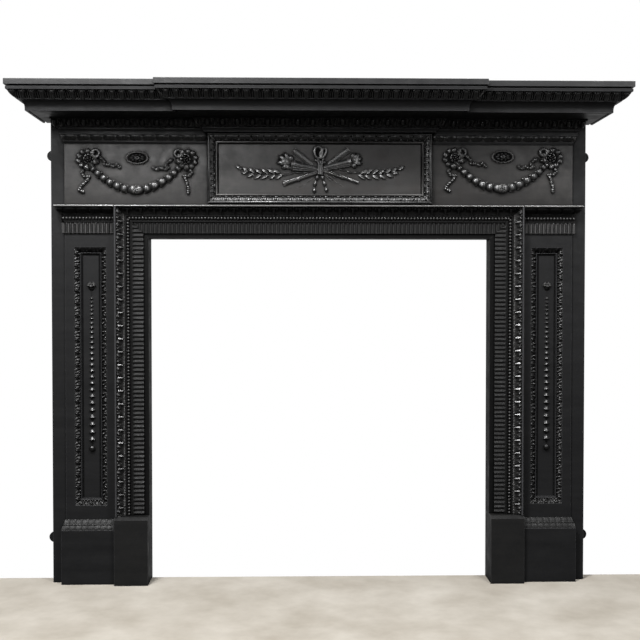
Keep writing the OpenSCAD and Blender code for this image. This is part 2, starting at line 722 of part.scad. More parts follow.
// The outline of the cap's outer end, in [x, z]
cap_end_outline = concat([[0, cap_foot]],
    [for (p = cap_profile) [pil_half + (p[1] - face_d) * cap_end / arch_proj, opening_h + p[0]]],
    [[0, arch_top]]);

// The side strip: a front flange that laps behind the pilaster, and a return to the wall
module side_strip(s) color(iron) side(s) difference() {
    run_z(0, soffit_z, [
        [pil_half - lap_w, strip_d - wall_t], [body_half - wall_t, strip_d - wall_t],
        [body_half - wall_t, 0], [body_half, 0], [body_half, strip_d],
        [pil_half - lap_w, strip_d]]);
    for (p = lap_studs) stud_hole(p);
    for (z = lug_heights)
        block(body_half - 2 * wall_t, mill, -1, lug_t, z - tang_half, z + tang_half);
}
module side_strip_left() side_strip(-1);
module side_strip_right() side_strip(1);

// ---- plinths -------------------------------------------------------------------------------

plinth_x0 = arch_half + 2;
module plinth_block(s) color(iron) side(s) difference() {
    union() {
        block(plinth_x0, pil_half, face_d, plinth_d, 0, plinth_h);
        block(pil_half, plinth_half, strip_d, plinth_d, 0, plinth_h);
    }
    block(plinth_x0 + wall_t, plinth_half - wall_t, -1, plinth_d - wall_t, wall_t, plinth_h - wall_t);
}
module plinth_block_left() plinth_block(-1);
module plinth_block_right() plinth_block(1);

// Two sloping leaf mouldings one above the other, returned at the outer end
plinth_rise = plinth_d - face_d;
plinth_profile = [
    [plinth_rise - 1, 0], [plinth_rise - 6.5, plinth_mould_h * 0.45],
    [plinth_rise - 9, plinth_mould_h * 0.45], [plinth_rise - 9, plinth_mould_h * 0.54],
    [plinth_rise - 8, plinth_mould_h * 0.54], [1.5, plinth_mould_h], [0.5, plinth_mould_h]];
module plinth_moulding(s) color(iron_relief) side(s) intersection() {
    mitred(pil_half, face_d, plinth_h, plinth_profile, plinth_side / plinth_rise);
    union() {
        block(plinth_x0, pil_half, face_d, mill, plinth_h, plinth_top);
        block(pil_half, mill, strip_d, mill, plinth_h, plinth_top);
    }
}
module plinth_moulding_left() plinth_moulding(-1);
module plinth_moulding_right() plinth_moulding(1);

// The inner block: a hollow box whose inner side lines the opening back to the wall
module inner_block(s) color(iron) side(s) difference() {
    union() {
        intersection() {
            run_x(open_half, plinth_x0, [[face_d, 0], [block_d, 0], [block_d, block_h - block_chamfer],
                [block_d - block_chamfer, block_h], [face_d, block_h]]);
            run_d(0, mill, [[0, 0], [plinth_x0, 0], [plinth_x0, block_h - block_chamfer / 4],
                [plinth_x0 - block_chamfer / 4, block_h], [0, block_h]]);
        }
        block(open_half, arch_half, 0, face_d, 0, block_h);
    }
    block(open_half + wall_t, arch_half + 1, -1, back_d, -1, block_h + 1);
    block(open_half + wall_t, plinth_x0 - wall_t, back_d - 1, block_d - wall_t - block_chamfer / 2,
        wall_t, block_h - wall_t);
}
module inner_block_left() inner_block(-1);
module inner_block_right() inner_block(1);

// ---- fixings behind ------------------------------------------------------------------------

strap_end = 2 * nut_af;
strap_z0 = block_h + strap_end;
strap_z1 = arch_top - strap_half - strap_end;
bar_half = pil_half - lap_w - 2;
stud_in = strap_half / 2;

function spread(a, b, n) = [for (i = [0:n - 1]) a + (b - a) * i / (n - 1)];
strap_rows = spread(strap_z0 + strap_end, strap_z1 - strap_end, stud_rows);
bar_columns = spread(-bar_half + strap_end, bar_half - strap_end, stud_rows + 2);
strap_studs = [for (z = strap_rows, s = [-1, 1]) [arch_half + s * stud_in, z]];
lap_studs = [for (z = spread(2 * strap_end, soffit_z - 2 * strap_end, stud_rows + 1))
    [pil_half - lap_w / 2, z]];
bar_studs = [for (x = bar_columns, s = [-1, 1]) [x, arch_top + s * stud_in]];

module stud_hole(p)
    translate([p[0], y_at(-1), p[1]]) rotate([90, 0, 0]) cylinder(h = mill, r = stud_r + stud_clear);

// Puts its child behind every stud point, on both sides of the surround
module at_studs() {
    for (s = [-1, 1], p = concat(strap_studs, lap_studs))
        translate([s * p[0], 0, p[1]]) children();
    for (p = bar_studs)
        translate([p[0], 0, p[1]]) children();
}

stud_len = wall_t + nut_t + 4;
module joint_studs() color(steel) at_studs()
    translate([0, y_at(back_d), 0]) rotate([-90, 0, 0]) cylinder(h = stud_len, r = stud_r);

module joint_nuts() color(steel) at_studs()
    translate([0, y_at(back_d - wall_t), 0]) rotate([-90, 0, 0]) difference() {
        cylinder(h = nut_t, r = nut_af / sqrt(3), $fn = 6);
        translate([0, 0, -1]) cylinder(h = nut_t + 2, r = stud_r);
    }

module jamb_straps() color(iron_back) for (s = [-1, 1]) side(s) difference() {
    block(arch_half - strap_half, arch_half + strap_half, back_d - wall_t, back_d, strap_z0, strap_z1);
    for (p = strap_studs) stud_hole(p);
}

module head_strap() color(iron_back) difference() {
    block(-bar_half, bar_half, back_d - wall_t, back_d, arch_top - strap_half, arch_top + strap_half);
    for (p = bar_studs) stud_hole(p);
}

// Half-round ears on the wall plane, each with a tang through the side strip
lug_heights = [lug_low_z, lug_low_z + lug_span];
tang_half = 0.55 * lug_r;
lug_x = body_half + lug_out;
module wall_lugs() color(iron) for (s = [-1, 1], z = lug_heights) side(s) difference() {
    union() {
        intersection() {
            disc([lug_x, z], lug_r, 0, lug_t);
            block(body_half, mill, 0, lug_t, 0, mill);
        }
        block(body_half - 1.5 * wall_t, body_half + 1, 0, lug_t, z - tang_half, z + tang_half);
    }
    disc([lug_x, z], lug_hole_r, -1, lug_t + 1);
}

mantel_shelf();
cornice_moulding();
cornice_tongues();
soffit_plate();
shelf_ribs();
frieze_plate();
bed_mould_left();
bed_mould_centre();
bed_mould_right();
egg_and_dart_left();
egg_and_dart_centre();
egg_and_dart_right();
frieze_leaf_left();
frieze_leaf_right();
swag_left();
swag_right();
patera_left();
patera_right();
tablet_panel();
tablet_frame();
trophy();
laurel_left();
laurel_right();
architrave_head();
architrave_jamb_left();
architrave_jamb_right();
leaf_strip_head();
leaf_strip_left();
leaf_strip_right();
bead_row_head();
bead_row_left();
bead_row_right();
flute_strip_head();
flute_strip_left();
flute_strip_right();
pilaster_left();
pilaster_right();
pilaster_cap_left();
pilaster_cap_right();
sunk_panel_left();
sunk_panel_right();
panel_frame_left();
panel_frame_right();
husk_drop_left();
husk_drop_right();
side_strip_left();
side_strip_right();
plinth_block_left();
plinth_block_right();
plinth_moulding_left();
plinth_moulding_right();
inner_block_left();
inner_block_right();
jamb_straps();
head_strap();
joint_studs();
joint_nuts();
wall_lugs();
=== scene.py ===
# %% [markdown]
# # A cast iron fireplace surround
# The real object is a set of iron castings, bolted together from behind, brushed with black lead
# and rubbed up. The CAD frame gives the castings their true size and place. This lesson softens
# their edges, carves the enriched mouldings and the applied ornament, and gives them the finish.

# %% Load the frame and make the camera
import json
import math

import bmesh
import bpy
from mathutils import Matrix, Vector


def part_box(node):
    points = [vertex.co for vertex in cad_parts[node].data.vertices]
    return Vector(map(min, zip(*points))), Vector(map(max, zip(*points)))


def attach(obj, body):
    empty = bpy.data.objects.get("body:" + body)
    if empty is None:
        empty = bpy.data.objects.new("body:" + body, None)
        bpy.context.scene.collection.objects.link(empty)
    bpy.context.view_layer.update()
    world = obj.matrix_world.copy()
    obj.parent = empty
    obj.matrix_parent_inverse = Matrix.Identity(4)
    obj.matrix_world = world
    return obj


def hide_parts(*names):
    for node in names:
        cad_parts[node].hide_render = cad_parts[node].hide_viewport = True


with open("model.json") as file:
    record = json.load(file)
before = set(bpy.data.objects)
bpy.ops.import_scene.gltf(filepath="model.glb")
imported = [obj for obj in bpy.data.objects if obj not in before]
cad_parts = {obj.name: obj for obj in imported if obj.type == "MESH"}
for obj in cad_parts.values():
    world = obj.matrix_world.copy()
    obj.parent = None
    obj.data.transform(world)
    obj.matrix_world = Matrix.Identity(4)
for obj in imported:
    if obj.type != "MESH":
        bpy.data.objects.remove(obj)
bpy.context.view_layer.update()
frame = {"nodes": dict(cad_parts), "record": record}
MM = 0.001
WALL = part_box("side_strip_left")[1].y / MM      # the wall plane, in millimetres

camera = bpy.data.objects.new("camera", bpy.data.cameras.new("camera"))
bpy.context.collection.objects.link(camera)
camera.data.lens = 56.22
camera.data.sensor_width = 36
camera.location = (-0.0615, -2.7283, 0.8013)
camera.rotation_euler = (math.pi / 2 - 0.0226, 0, -0.0221)
bpy.context.scene.camera = camera
bpy.context.scene.view_settings.view_transform = "Standard"


# %% [markdown]
# ## The finish
# Black-leaded iron isn't one flat black. The sand mould leaves a fine grain, the brush leaves soft
# lighter patches, hands and dusters rub the edges bright, and dust makes the hollows rougher. The
# hollows and corners also get a painted shade, a darker colour and less shine.
# A texture painter could draw that. Node groups are used here, because every casting shares the
# same effects and each needs only its own strengths.

# %% Node helpers
def feed(tree, value, socket):
    """Gives an input its number or colour, or links it to the output that feeds it."""
    if isinstance(value, bpy.types.NodeSocket):
        tree.links.new(value, socket)
    else:
        socket.default_value = (*value, 1) if socket.type == "RGBA" else value


def add_node(tree, kind, **given):
    """A shader node with some of its inputs fed."""
    node = tree.nodes.new("ShaderNode" + kind)
    for label, value in given.items():
        feed(tree, value, node.inputs[label.replace("_", " ")])
    return node


def new_group(name, inputs, outputs):
    """An empty shader node group with float inputs and float outputs."""
    tree = bpy.data.node_groups.new(name, "ShaderNodeTree")
    for label, value in inputs:
        socket = tree.interface.new_socket(label, in_out="INPUT", socket_type="NodeSocketFloat")
        socket.default_value = value
    for label in outputs:
        tree.interface.new_socket(label, in_out="OUTPUT", socket_type="NodeSocketFloat")
    return tree, tree.nodes.new("NodeGroupInput"), tree.nodes.new("NodeGroupOutput")


def remap(tree, source, low, high, to_low=0.0, to_high=1.0):
    return add_node(tree, "MapRange", Value=source, From_Min=low, From_Max=high, To_Min=to_low,
                    To_Max=to_high).outputs["Result"]


def maths(tree, operation, a, b):
    node = add_node(tree, "Math")
    node.operation = operation
    feed(tree, a, node.inputs[0])
    feed(tree, b, node.inputs[1])
    return node.outputs[0]


def blend(tree, amount, a, b):
    """A mix of two colours."""
    node = add_node(tree, "Mix")
    node.data_type = "RGBA"
    feed(tree, amount, node.inputs["Factor"])
    feed(tree, a, node.inputs[6])
    feed(tree, b, node.inputs[7])
    return node.outputs[2]


def noise(tree, place, scale, detail, roughness=0.5):
    return add_node(tree, "TexNoise", Vector=place, Scale=scale, Detail=detail,
                    Roughness=roughness).outputs["Fac"]


def place_in(tree, kind="Object"):
    return add_node(tree, "TexCoord").outputs[kind]


def height_of(tree, place):
    return add_node(tree, "SeparateXYZ", Vector=place).outputs["Z"]


# %% The sand-cast grain and the brushed patches
def cast_grain():
    """Height: the fine pitted skin of a sand casting. Patches: where the brush left more polish."""
    tree, given, out = new_group("cast_grain", [("Coarseness", 1.0)], ["Height", "Patches", "Streaks"])
    place = place_in(tree)
    fine = maths(tree, "MULTIPLY", noise(tree, place, 900, 3, 0.6), 0.5)
    lumps = maths(tree, "MULTIPLY", noise(tree, place, 160, 2), given.outputs["Coarseness"])
    stretched = add_node(tree, "Mapping", Vector=place, Scale=(6, 6, 40)).outputs["Vector"]
    feed(tree, maths(tree, "ADD", fine, lumps), out.inputs["Height"])
    feed(tree, remap(tree, noise(tree, place, 26, 6, 0.68), 0.38, 0.64), out.inputs["Patches"])
    feed(tree, remap(tree, noise(tree, stretched, 1.0, 5, 0.65), 0.35, 0.7), out.inputs["Streaks"])
    return tree


def rubbed_edges_and_painted_shade():
    """Edge: 1 on convex edges, which are rubbed bright. Hollow: 1 in corners and hollows, for painted
    shade.
    """
    tree, given, out = new_group("rubbed_edges_and_painted_shade", [("Edge Width", 0.0015), ("Hollow Width", 0.009)],
                                 ["Edge", "Hollow"])
    for label, inside, low, high in (("Edge", True, 0.55, 0.95), ("Hollow", False, 0.30, 0.98)):
        shade = add_node(tree, "AmbientOcclusion", Distance=given.outputs[label + " Width"])
        shade.inside = inside
        shade.samples = 6
        feed(tree, remap(tree, shade.outputs["AO"], low, high, 1.0, 0.0), out.inputs[label])
    return tree


GRAIN = cast_grain()
# EDGES holds the mask of rubbed edges and the mask of painted shade in hollows
EDGES = rubbed_edges_and_painted_shade()


# %% One black-leaded iron for each casting's wear and painted shade
def black_lead(name, colour, light, rubbed, rough, edge=0.6, hollow=0.7, grain=0.35, coarseness=0.6,
               metallic=0.0, sheen=0.75, ior=1.5, painted_highlight_band=None):
    """colour and light: the polish in its darker and lighter patches. rubbed: its bare high edges.
    hollow: how strong the painted shade is in corners and carved hollows. The band argument: a height
    where colour and shine are painted brighter, a painted highlight, and how far from it that fades."""
    material = bpy.data.materials.new(name)
    material.use_nodes = True
    tree = material.node_tree
    shader = tree.nodes["Principled BSDF"]
    shader.inputs["Metallic"].default_value = metallic
    shader.inputs["IOR"].default_value = ior
    skin, wear_and_shade = tree.nodes.new("ShaderNodeGroup"), tree.nodes.new("ShaderNodeGroup")
    skin.node_tree, wear_and_shade.node_tree = GRAIN, EDGES
    skin.inputs["Coarseness"].default_value = coarseness
    patches = maths(tree, "ADD", skin.outputs["Patches"], skin.outputs["Streaks"])
    lighter = maths(tree, "MULTIPLY", patches, 0.5)
    gloss = sheen
    # painted highlight: colour and shine are painted brighter in a band of height and fade away from it
    if painted_highlight_band:
        level, reach = painted_highlight_band
        away = maths(tree, "ABSOLUTE", maths(tree, "SUBTRACT", height_of(tree, place_in(tree)), level), 0)
        lighter = maths(tree, "MULTIPLY", lighter, remap(tree, away, 0, reach, 1.0, 0.3))
        gloss = remap(tree, away, 0, reach, sheen, 0.55 * sheen)
    high = maths(tree, "MULTIPLY", wear_and_shade.outputs["Edge"], edge)
    # painted shade: in corners and carved hollows the colour is darkened and the shine cut
    low = maths(tree, "MULTIPLY", wear_and_shade.outputs["Hollow"], hollow)
    worn = blend(tree, high, blend(tree, lighter, colour, light), rubbed)
    dark = tuple(0.25 * c for c in colour)
    feed(tree, blend(tree, low, worn, dark), shader.inputs["Base Color"])
    feed(tree, maths(tree, "MULTIPLY", remap(tree, low, 0, 1, 1.0, 0.15), gloss),
         shader.inputs["Specular IOR Level"])
    uneven = remap(tree, skin.outputs["Patches"], 0, 1, rough + 0.09, rough - 0.09)
    dusty = maths(tree, "ADD", uneven, maths(tree, "MULTIPLY", low, 0.3))
    feed(tree, maths(tree, "SUBTRACT", dusty, maths(tree, "MULTIPLY", high, 0.12)),
         shader.inputs["Roughness"])
    bump = add_node(tree, "Bump", Strength=grain, Distance=0.0004, Height=skin.outputs["Height"])
    feed(tree, bump.outputs["Normal"], shader.inputs["Normal"])
    return material


FINISH = {
    "black_iron": black_lead(
        "black_leaded_casting", (0.007, 0.007, 0.0075), (0.017, 0.017, 0.0175), (0.10, 0.10, 0.105),
        0.42, sheen=0.28),
    "relief_iron": black_lead(
        "black_leaded_ornament", (0.004, 0.004, 0.004), (0.010, 0.0098, 0.0098), (0.12, 0.117, 0.115),
        0.30, hollow=0.97, grain=0.2, sheen=0.6),
    "fluted_iron": black_lead(
        "fluted_casting", (0.009, 0.009, 0.009), (0.017, 0.0168, 0.0166), (0.07, 0.069, 0.068),
        0.42, edge=0.3, hollow=0.97, grain=0.2, sheen=0.22),
    "bright_ornament": black_lead(
        "bright_ornament", (0.006, 0.0059, 0.0058), (0.015, 0.0147, 0.0144), (0.20, 0.195, 0.19),
        0.35, edge=0.7, hollow=0.99, grain=0.2, sheen=1.0, ior=1.75),
    "rubbed_ornament": black_lead(
        "rubbed_ornament", (0.020, 0.0195, 0.019), (0.045, 0.044, 0.043), (0.22, 0.215, 0.21),
        0.30, edge=0.8, hollow=0.98, grain=0.2, sheen=0.7),
    # painted shade: a near-black finish for parts that lie in shade, and for dark sheets laid behind
    # ornament
    "shaded_iron": black_lead(
        "shaded_casting", (0.002, 0.002, 0.002), (0.004, 0.004, 0.004), (0.05, 0.049, 0.048),
        0.50, edge=0.4, hollow=0.97, sheen=0.16),
    # painted shadow: a near-black strip laid along joints and grooves where a shadow falls
    "painted_shadow_line": black_lead(
        "painted_shadow_finish", (0.001, 0.001, 0.001), (0.002, 0.002, 0.002), (0.002, 0.002, 0.002),
        0.70, sheen=0.1),
    "dull_iron": black_lead(
        "dull_casting", (0.008, 0.008, 0.008), (0.017, 0.0165, 0.016), (0.10, 0.10, 0.10),
        0.55, sheen=0.2),
    "panel_iron": black_lead(
        "rubbed_panel", (0.012, 0.0112, 0.0106), (0.046, 0.042, 0.0395), (0.14, 0.135, 0.13),
        0.38, hollow=0.85),
    # the frieze, with a painted highlight across its upper middle
    "frieze_with_painted_highlight": black_lead(
        "frieze_with_painted_highlight", (0.011, 0.0103, 0.0098), (0.055, 0.0505, 0.0475), (0.14, 0.135, 0.13),
        0.38, hollow=0.9, painted_highlight_band=(1.172, 0.115)),
    "shelf_iron": black_lead(
        "handled_shelf", (0.011, 0.011, 0.0115), (0.025, 0.025, 0.026), (0.14, 0.14, 0.145),
        0.38, sheen=0.55),
    "raw_iron": black_lead(
        "raw_back_casting", (0.030, 0.022, 0.018), (0.060, 0.040, 0.028), (0.09, 0.07, 0.055),
        0.66, grain=0.8, coarseness=1.6, sheen=0.4),
    "fixing_steel": black_lead(
        "dull_steel", (0.10, 0.095, 0.09), (0.17, 0.165, 0.16), (0.30, 0.29, 0.28),
        0.42, metallic=0.7, sheen=0.5),
}
print(len(FINISH), "finishes")


# %% [markdown]
# ## Castings with soft edges
# A casting leaves the sand with slightly rounded edges, and a small round edge catches a thin line
# of light. The CAD solids have sharp edges, so each plain casting gets a copy of its mesh, merged
# from loose triangles, with a fine bevel on every true edge.

# %% How a piece is finished
ROUNDING = 0.8        # of a casting's edges
TRUE_EDGE = math.radians(25)        # a flatter edge is part of a curve
SHORTEST_EDGE = 2.5


def mesh_object(name, bm):
    """Turns a bmesh into an object of the scene."""
    mesh = bpy.data.meshes.new(name)
    bm.to_mesh(mesh)
    bm.free()
    thing = bpy.data.objects.new(name, mesh)
    bpy.context.collection.objects.link(thing)
    return thing


def add_piece(name, bm, slot, *nodes, soft_angle=50, finish=None):
    """Turns a bmesh in millimetres of the shared frame into a piece that rides on the object."""
    bmesh.ops.recalc_face_normals(bm, faces=bm.faces)
    bmesh.ops.scale(bm, vec=(MM, MM, MM), verts=bm.verts)
    for face in bm.faces:
        face.smooth = True
    for edge in bm.edges:
        edge.smooth = edge.calc_face_angle(0) < math.radians(soft_angle)
    piece = mesh_object(name, bm)
    piece.data.materials.append(FINISH[finish or slot])
    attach(piece, "root")
    if nodes:
        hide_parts(*nodes)
    return piece


def ornament(name, bm, node, finish=None):
    """A carved or applied piece in place of one CAD node of the relief."""
    add_piece(name, bm, "relief_iron", node, finish=finish)


def softened(node, slot, finish=None):
    """A copy of a CAD casting with its edges rounded."""
    bm = bmesh.new()
    bm.from_mesh(frame["nodes"][node].data)
    bmesh.ops.scale(bm, vec=(1 / MM, 1 / MM, 1 / MM), verts=bm.verts)
    bmesh.ops.remove_doubles(bm, verts=bm.verts, dist=0.01)
    bmesh.ops.dissolve_limit(bm, angle_limit=math.radians(0.4), verts=bm.verts, edges=bm.edges)
    edges = [e for e in bm.edges if len(e.link_faces) == 2
             and e.calc_face_angle(0) > TRUE_EDGE and e.calc_length() > SHORTEST_EDGE]
    bmesh.ops.bevel(bm, geom=edges, offset=ROUNDING, offset_type="OFFSET", affect="EDGES", segments=2,
                    profile=0.5, material=-1, clamp_overlap=True)
    piece = add_piece(node + "_casting", bm, slot, node, soft_angle=35, finish=finish)
    piece.modifiers.new("even_normals", "WEIGHTED_NORMAL").keep_sharp = True


# %% The plain castings
SIDES = (("left", -1), ("right", 1))
SLOT_OF = {s["node"]: s["material_slot"] for s in frame["record"]["subparts"]}
PLAIN = ["mantel_shelf", "cornice_moulding", "soffit_plate", "shelf_ribs", "frieze_plate",
         "bed_mould_centre", "tablet_panel", "architrave_head", "jamb_straps", "head_strap",
         "joint_nuts", "wall_lugs"]
for part in ("bed_mould", "architrave_jamb", "pilaster", "sunk_panel", "side_strip", "plinth_block",
             "inner_block"):
    PLAIN += [part + "_" + side for side, way in SIDES]
# The architrave castings take the near-black shaded finish, a painted shade; the inner blocks a dull one.
OTHER_FINISH = {"frieze_plate": "frieze_with_painted_highlight", "architrave": "shaded_iron", "inner_block": "dull_iron"}
for node in PLAIN:
    special = [finish for part, finish in OTHER_FINISH.items() if part in node]
    softened(node, SLOT_OF[node], special[0] if special else None)
for node, thing in frame["nodes"].items():
    thing.data.materials.clear()
    thing.data.materials.append(FINISH[SLOT_OF[node]])
print(len(PLAIN), "plain castings softened")


# %% [markdown]
# ## Enriched mouldings
# Tongues, egg and dart, leaves and flutes run along the mouldings at a steady pitch and meet in
# mitres at the corners. They could be arrays of one modelled unit, but a unit can't bend over the
# profile and be cut at a mitre cleanly. Here a grid is laid along each straight run, bent to the
# profile, raised by a carving function that repeats with the pitch, cut at its mitres by a plane,
# and given a back, so that each run is a closed casting on its bed.

# %% A run of carved moulding
def along(profile, t, by_corner=False):
    """The point and the outward normal of an open profile of [offset, height] at its share t.
    by_corner gives every straight of the profile the same share."""
    lengths = [math.dist(a, b) for a, b in zip(profile, profile[1:])]
    if by_corner:
        k = round(t * (len(profile) - 1))
        return Vector(profile[k]), Vector((0, 0))
    left = min(max(t, 0.0), 1.0) * sum(lengths)
    for (a, b), size in zip(zip(profile, profile[1:]), lengths):
        if left <= size or (a, b) == (profile[-2], profile[-1]):
            k = left / size
            point = Vector((a[0] + k * (b[0] - a[0]), a[1] + k * (b[1] - a[1])))
            return point, Vector((b[1] - a[1], a[0] - b[0])) / size
        left -= size


def across_plan(p, height):
    """Plan point (x, depth) and a height: for cornices and caps."""
    return Vector((p.x, WALL - p.y, height))


def across_face(p, depth):
    """Elevation point (x, z) and a depth: for frames round openings and panels."""
    return Vector((p.x, WALL - depth, p.y))


def carve_run(bm, path, index, profile, lift, pitch, cells, to_row, turn=1, closed=False,
              shrink=None, back=3.0, shift=0.0, exact=True):
    """Adds the run from path[index] to the next point. turn is 1 where the moulding stands out to
    the left of the path. shrink scales the projection of named runs. lift(u, t) is the carving:
    u counts pitches from the middle of the run, t goes over the profile."""
    count = len(path)
    shrink = shrink or {}

    def heading(i):
        a, b = Vector(path[i % count]), Vector(path[(i + 1) % count])
        return (b - a).normalized()

    def outward(i):
        d = heading(i)
        return turn * Vector((-d.y, d.x)) * shrink.get(i, 1.0)

    a, b = Vector(path[index]), Vector(path[(index + 1) % count])
    size = (b - a).length
    step = size / max(1, round(size / pitch)) if exact and size > 2 * pitch else pitch
    reach = max(abs(p[0]) for p in profile) + 3
    half = math.ceil((size / 2 + reach) / step)
    rows = len(profile) - 1 if lift is plain else cells[1]
    run = bmesh.new()
    bmesh.ops.create_grid(run, x_segments=2 * half * cells[0], y_segments=rows, size=1)
    middle, forward, out = (a + b) / 2, heading(index), outward(index)
    unit = out.normalized()
    facing = -1 if to_row is across_face else 1
    for v in run.verts:
        s, t = v.co.x * half * step, (v.co.y + 1) / 2
        p, n = along(profile, t, lift is plain)
        h = lift(s / step + shift, t) * facing
        flat = middle + forward * s + out * p.x + unit * n.x * h
        v.co = to_row(flat, p.y + n.y * h)
    zero = to_row(Vector((0, 0)), 0)
    chord = Vector((profile[-1][1] - profile[0][1], profile[0][0] - profile[-1][0])).normalized()
    push = (to_row(unit * chord.x, chord.y) - zero) * -back * facing
    for end, way in ((index, -1), (index + 1, 1)):
        corner = Vector(path[end % count])
        free = not closed and end in (0, count - 1)
        if free:
            normal = forward * way
        else:
            line = outward((end - 1) % count) + outward(end % count)
            normal = Vector((line.y, -line.x)).normalized()
            normal *= way if normal.dot(forward) > 0 else -way
        bmesh.ops.bisect_plane(run, geom=run.verts[:] + run.edges[:] + run.faces[:], dist=0.001,
                               plane_co=to_row(corner, 0), clear_outer=True,
                               plane_no=to_row(normal, 0) - zero)
    rim = [e for e in run.edges if e.is_boundary]
    skirt = bmesh.ops.extrude_edge_only(run, edges=rim)["geom"]
    behind = [v for v in skirt if isinstance(v, bmesh.types.BMVert)]
    bmesh.ops.translate(run, verts=behind, vec=push)
    bmesh.ops.holes_fill(run, edges=[e for e in run.edges if e.is_boundary], sides=0)
    bmesh.ops.recalc_face_normals(run, faces=run.faces)
    spare = bpy.data.meshes.new("run")
    run.to_mesh(spare)
    run.free()
    bm.from_mesh(spare)
    bpy.data.meshes.remove(spare)


def bump_at(x, width):
    """A smooth bump of height 1 at x = 0 that ends at width."""
    return max(0.0, 1 - (x / width) ** 2)


def wrap(u):
    """The place within a pitch, from -0.5 to 0.5."""
    return u - math.floor(u + 0.5)


# %% [markdown]
# ### Carvings
# Each function gives the height of one enrichment in millimetres over its profile.

# %% The carving functions
FLUTE_PITCH, FLUTE_BAND, FLUTE_HALF, FLUTE_DEEP = 12.05, 31.0, 3.9, 3.4


def dome(r):
    """The height of a round form at the share r of its half width."""
    return math.sqrt(1 - r * r)


def tongues(u, t):
    """Round-headed tongues with a raised rim, and a small leaf tip between their heads."""
    x = abs(wrap(u))
    spring, crown = 0.55, 0.96
    r = math.hypot(x / 0.43, max(0.0, t - spring) / (crown - spring))
    if r > 1:
        tip = 0.5 - x < 0.34 * (t - 0.62)
        return 0.9 if tip and t < 0.97 else -3.6
    if r > 0.74:
        return 0.9 - 0.7 * abs((r - 0.87) / 0.13) ** 2
    if r > 0.6:
        return -2.4
    return 0.2 + 1.6 * dome(r / 0.6) - bump_at(x, 0.05)


def egg_and_dart(u, t):
    """Eggs in their shells, widest above, between darts that widen to the foot."""
    x = abs(wrap(u))
    egg = math.hypot(x / 0.15, (t - 0.60) / 0.44)
    shell = math.hypot(x / (0.19 + 0.12 * t), (t - 0.66) / 0.62)
    if egg < 1:
        return -1.4 + 4.2 * dome(egg)
    if shell < 0.86:
        return -3.8
    if shell < 1.12:
        return 0.7 * bump_at(shell - 0.99, 0.15) - 0.2
    dart = (0.5 - x) / (0.03 + 0.11 * (1 - t))
    if dart < 1 and t < 0.93:
        return 0.8 - 1.6 * dart
    return -3.8


def leaf_and_dart(u, t):
    """Ribbed leaves with a full lobe on both sides, and a deep hollow for each dart between them."""
    x = abs(wrap(u))
    if 0.5 - x < 0.05 + 0.08 * t:
        return -3.2
    if t < 0.30:
        return -2.6 + 0.8 * math.cos(2 * math.pi * 8 * x)
    veins = 0.9 * math.cos(38 * (x * 0.9 - 0.22 * t))
    lobe = bump_at(x - 0.21, 0.14) * bump_at(t - 0.62, 0.5)
    return -2.0 + veins + 2.3 * lobe - 0.8 * bump_at(x, 0.05)


def small_leaf(u, t):
    """Oval leaves side by side, each with a middle rib, and a drilled dot between their tips."""
    x = wrap(u)
    dot = math.hypot((0.5 - abs(x)) / 0.085, (t - 0.15) / 0.19)
    if dot < 1:
        return -1.4 - 3.4 * dome(dot)
    leaf = math.hypot(x / 0.46, (t - 0.55) / 0.47)
    if leaf < 1:
        lobes = 0.35 * math.cos(40 * abs(x) - 6 * t)
        return -0.9 + 2.6 * (1 - leaf ** 2) ** 0.7 + lobes - 0.8 * bump_at(x, 0.03)
    return -1.8


def plinth_leaf(u, t):
    """The small leaf in a lower relief."""
    return 0.32 * small_leaf(u, t)


def tablet_leaf(u, t):
    """A ribbed leaf to each pitch with a drilled dot between the leaves at the outer side, and a row
    of long and round beads along the inner side."""
    x = wrap(u)
    aside = 0.5 - abs(x)
    dot = math.hypot(aside / 0.06, (t - 0.20) / 0.15)
    if dot < 1:
        return -1.5 - 3.0 * dome(dot)
    long_bead = math.hypot(aside / 0.17, (t - 0.80) / 0.17)
    round_bead = math.hypot(x / 0.065, (t - 0.80) / 0.19)
    bead = min(long_bead, round_bead)
    if bead < 1:
        return -0.4 + 2.2 * dome(bead)
    if t > 0.60:
        return -2.8
    return -0.6 + 0.6 * math.cos(2 * math.pi * 6 * x) * t + 0.8 * bump_at(x, 0.12) - 1.2 * t * t


def lobed_leaf(u, t):
    """One large lobe at the outer side and a pair of small ones at the inner side to each pitch,
    with drilled eyes between."""
    x = wrap(u)
    aside = 0.5 - abs(x)
    large = math.hypot((x - 0.15 * (t - 0.3)) / 0.10, (t - 0.34) / 0.36)
    small = math.hypot((aside - 0.16) / 0.075, (t - 0.76) / 0.24)
    lobe = min(large, small)
    if lobe < 1:
        return -1.0 + 3.0 * dome(lobe)
    eye = math.hypot((abs(x) - 0.25) / 0.07, (t - 0.22) / 0.2)
    if eye < 1:
        return -4.2
    return -2.6 + 0.8 * math.cos(2 * math.pi * 4 * (x + 0.2 * t))


def worn_leaf(u, t):
    """The same leaf in the low relief of the frame's head."""
    return 0.4 * lobed_leaf(u, t)


def flutes(u, t):
    """Hollow channels between flat fillets, with a round head and an open foot."""
    x = abs(wrap(u)) * FLUTE_PITCH
    head = max(0.0, t * FLUTE_BAND - (FLUTE_BAND - 5.5))
    r = math.hypot(x, head) / FLUTE_HALF
    return -FLUTE_DEEP * dome(r) if r < 1 else 0.0


def open_flutes(u, t):
    """Hollow channels that run up into the shadow under the moulding above."""
    r = abs(wrap(u)) * FLUTE_PITCH / FLUTE_HALF
    if t > 0.94:
        return -2.4
    return -FLUTE_DEEP * dome(r) if r < 1 else 0.0


def plain(u, t):
    """A member without carving."""
    return 0.0


# %% [markdown]
# ### The cornice and the bed mould
# The tongue band follows the cornice round its break and its ends. The egg and dart and the leaf
# strip follow the bed mould.

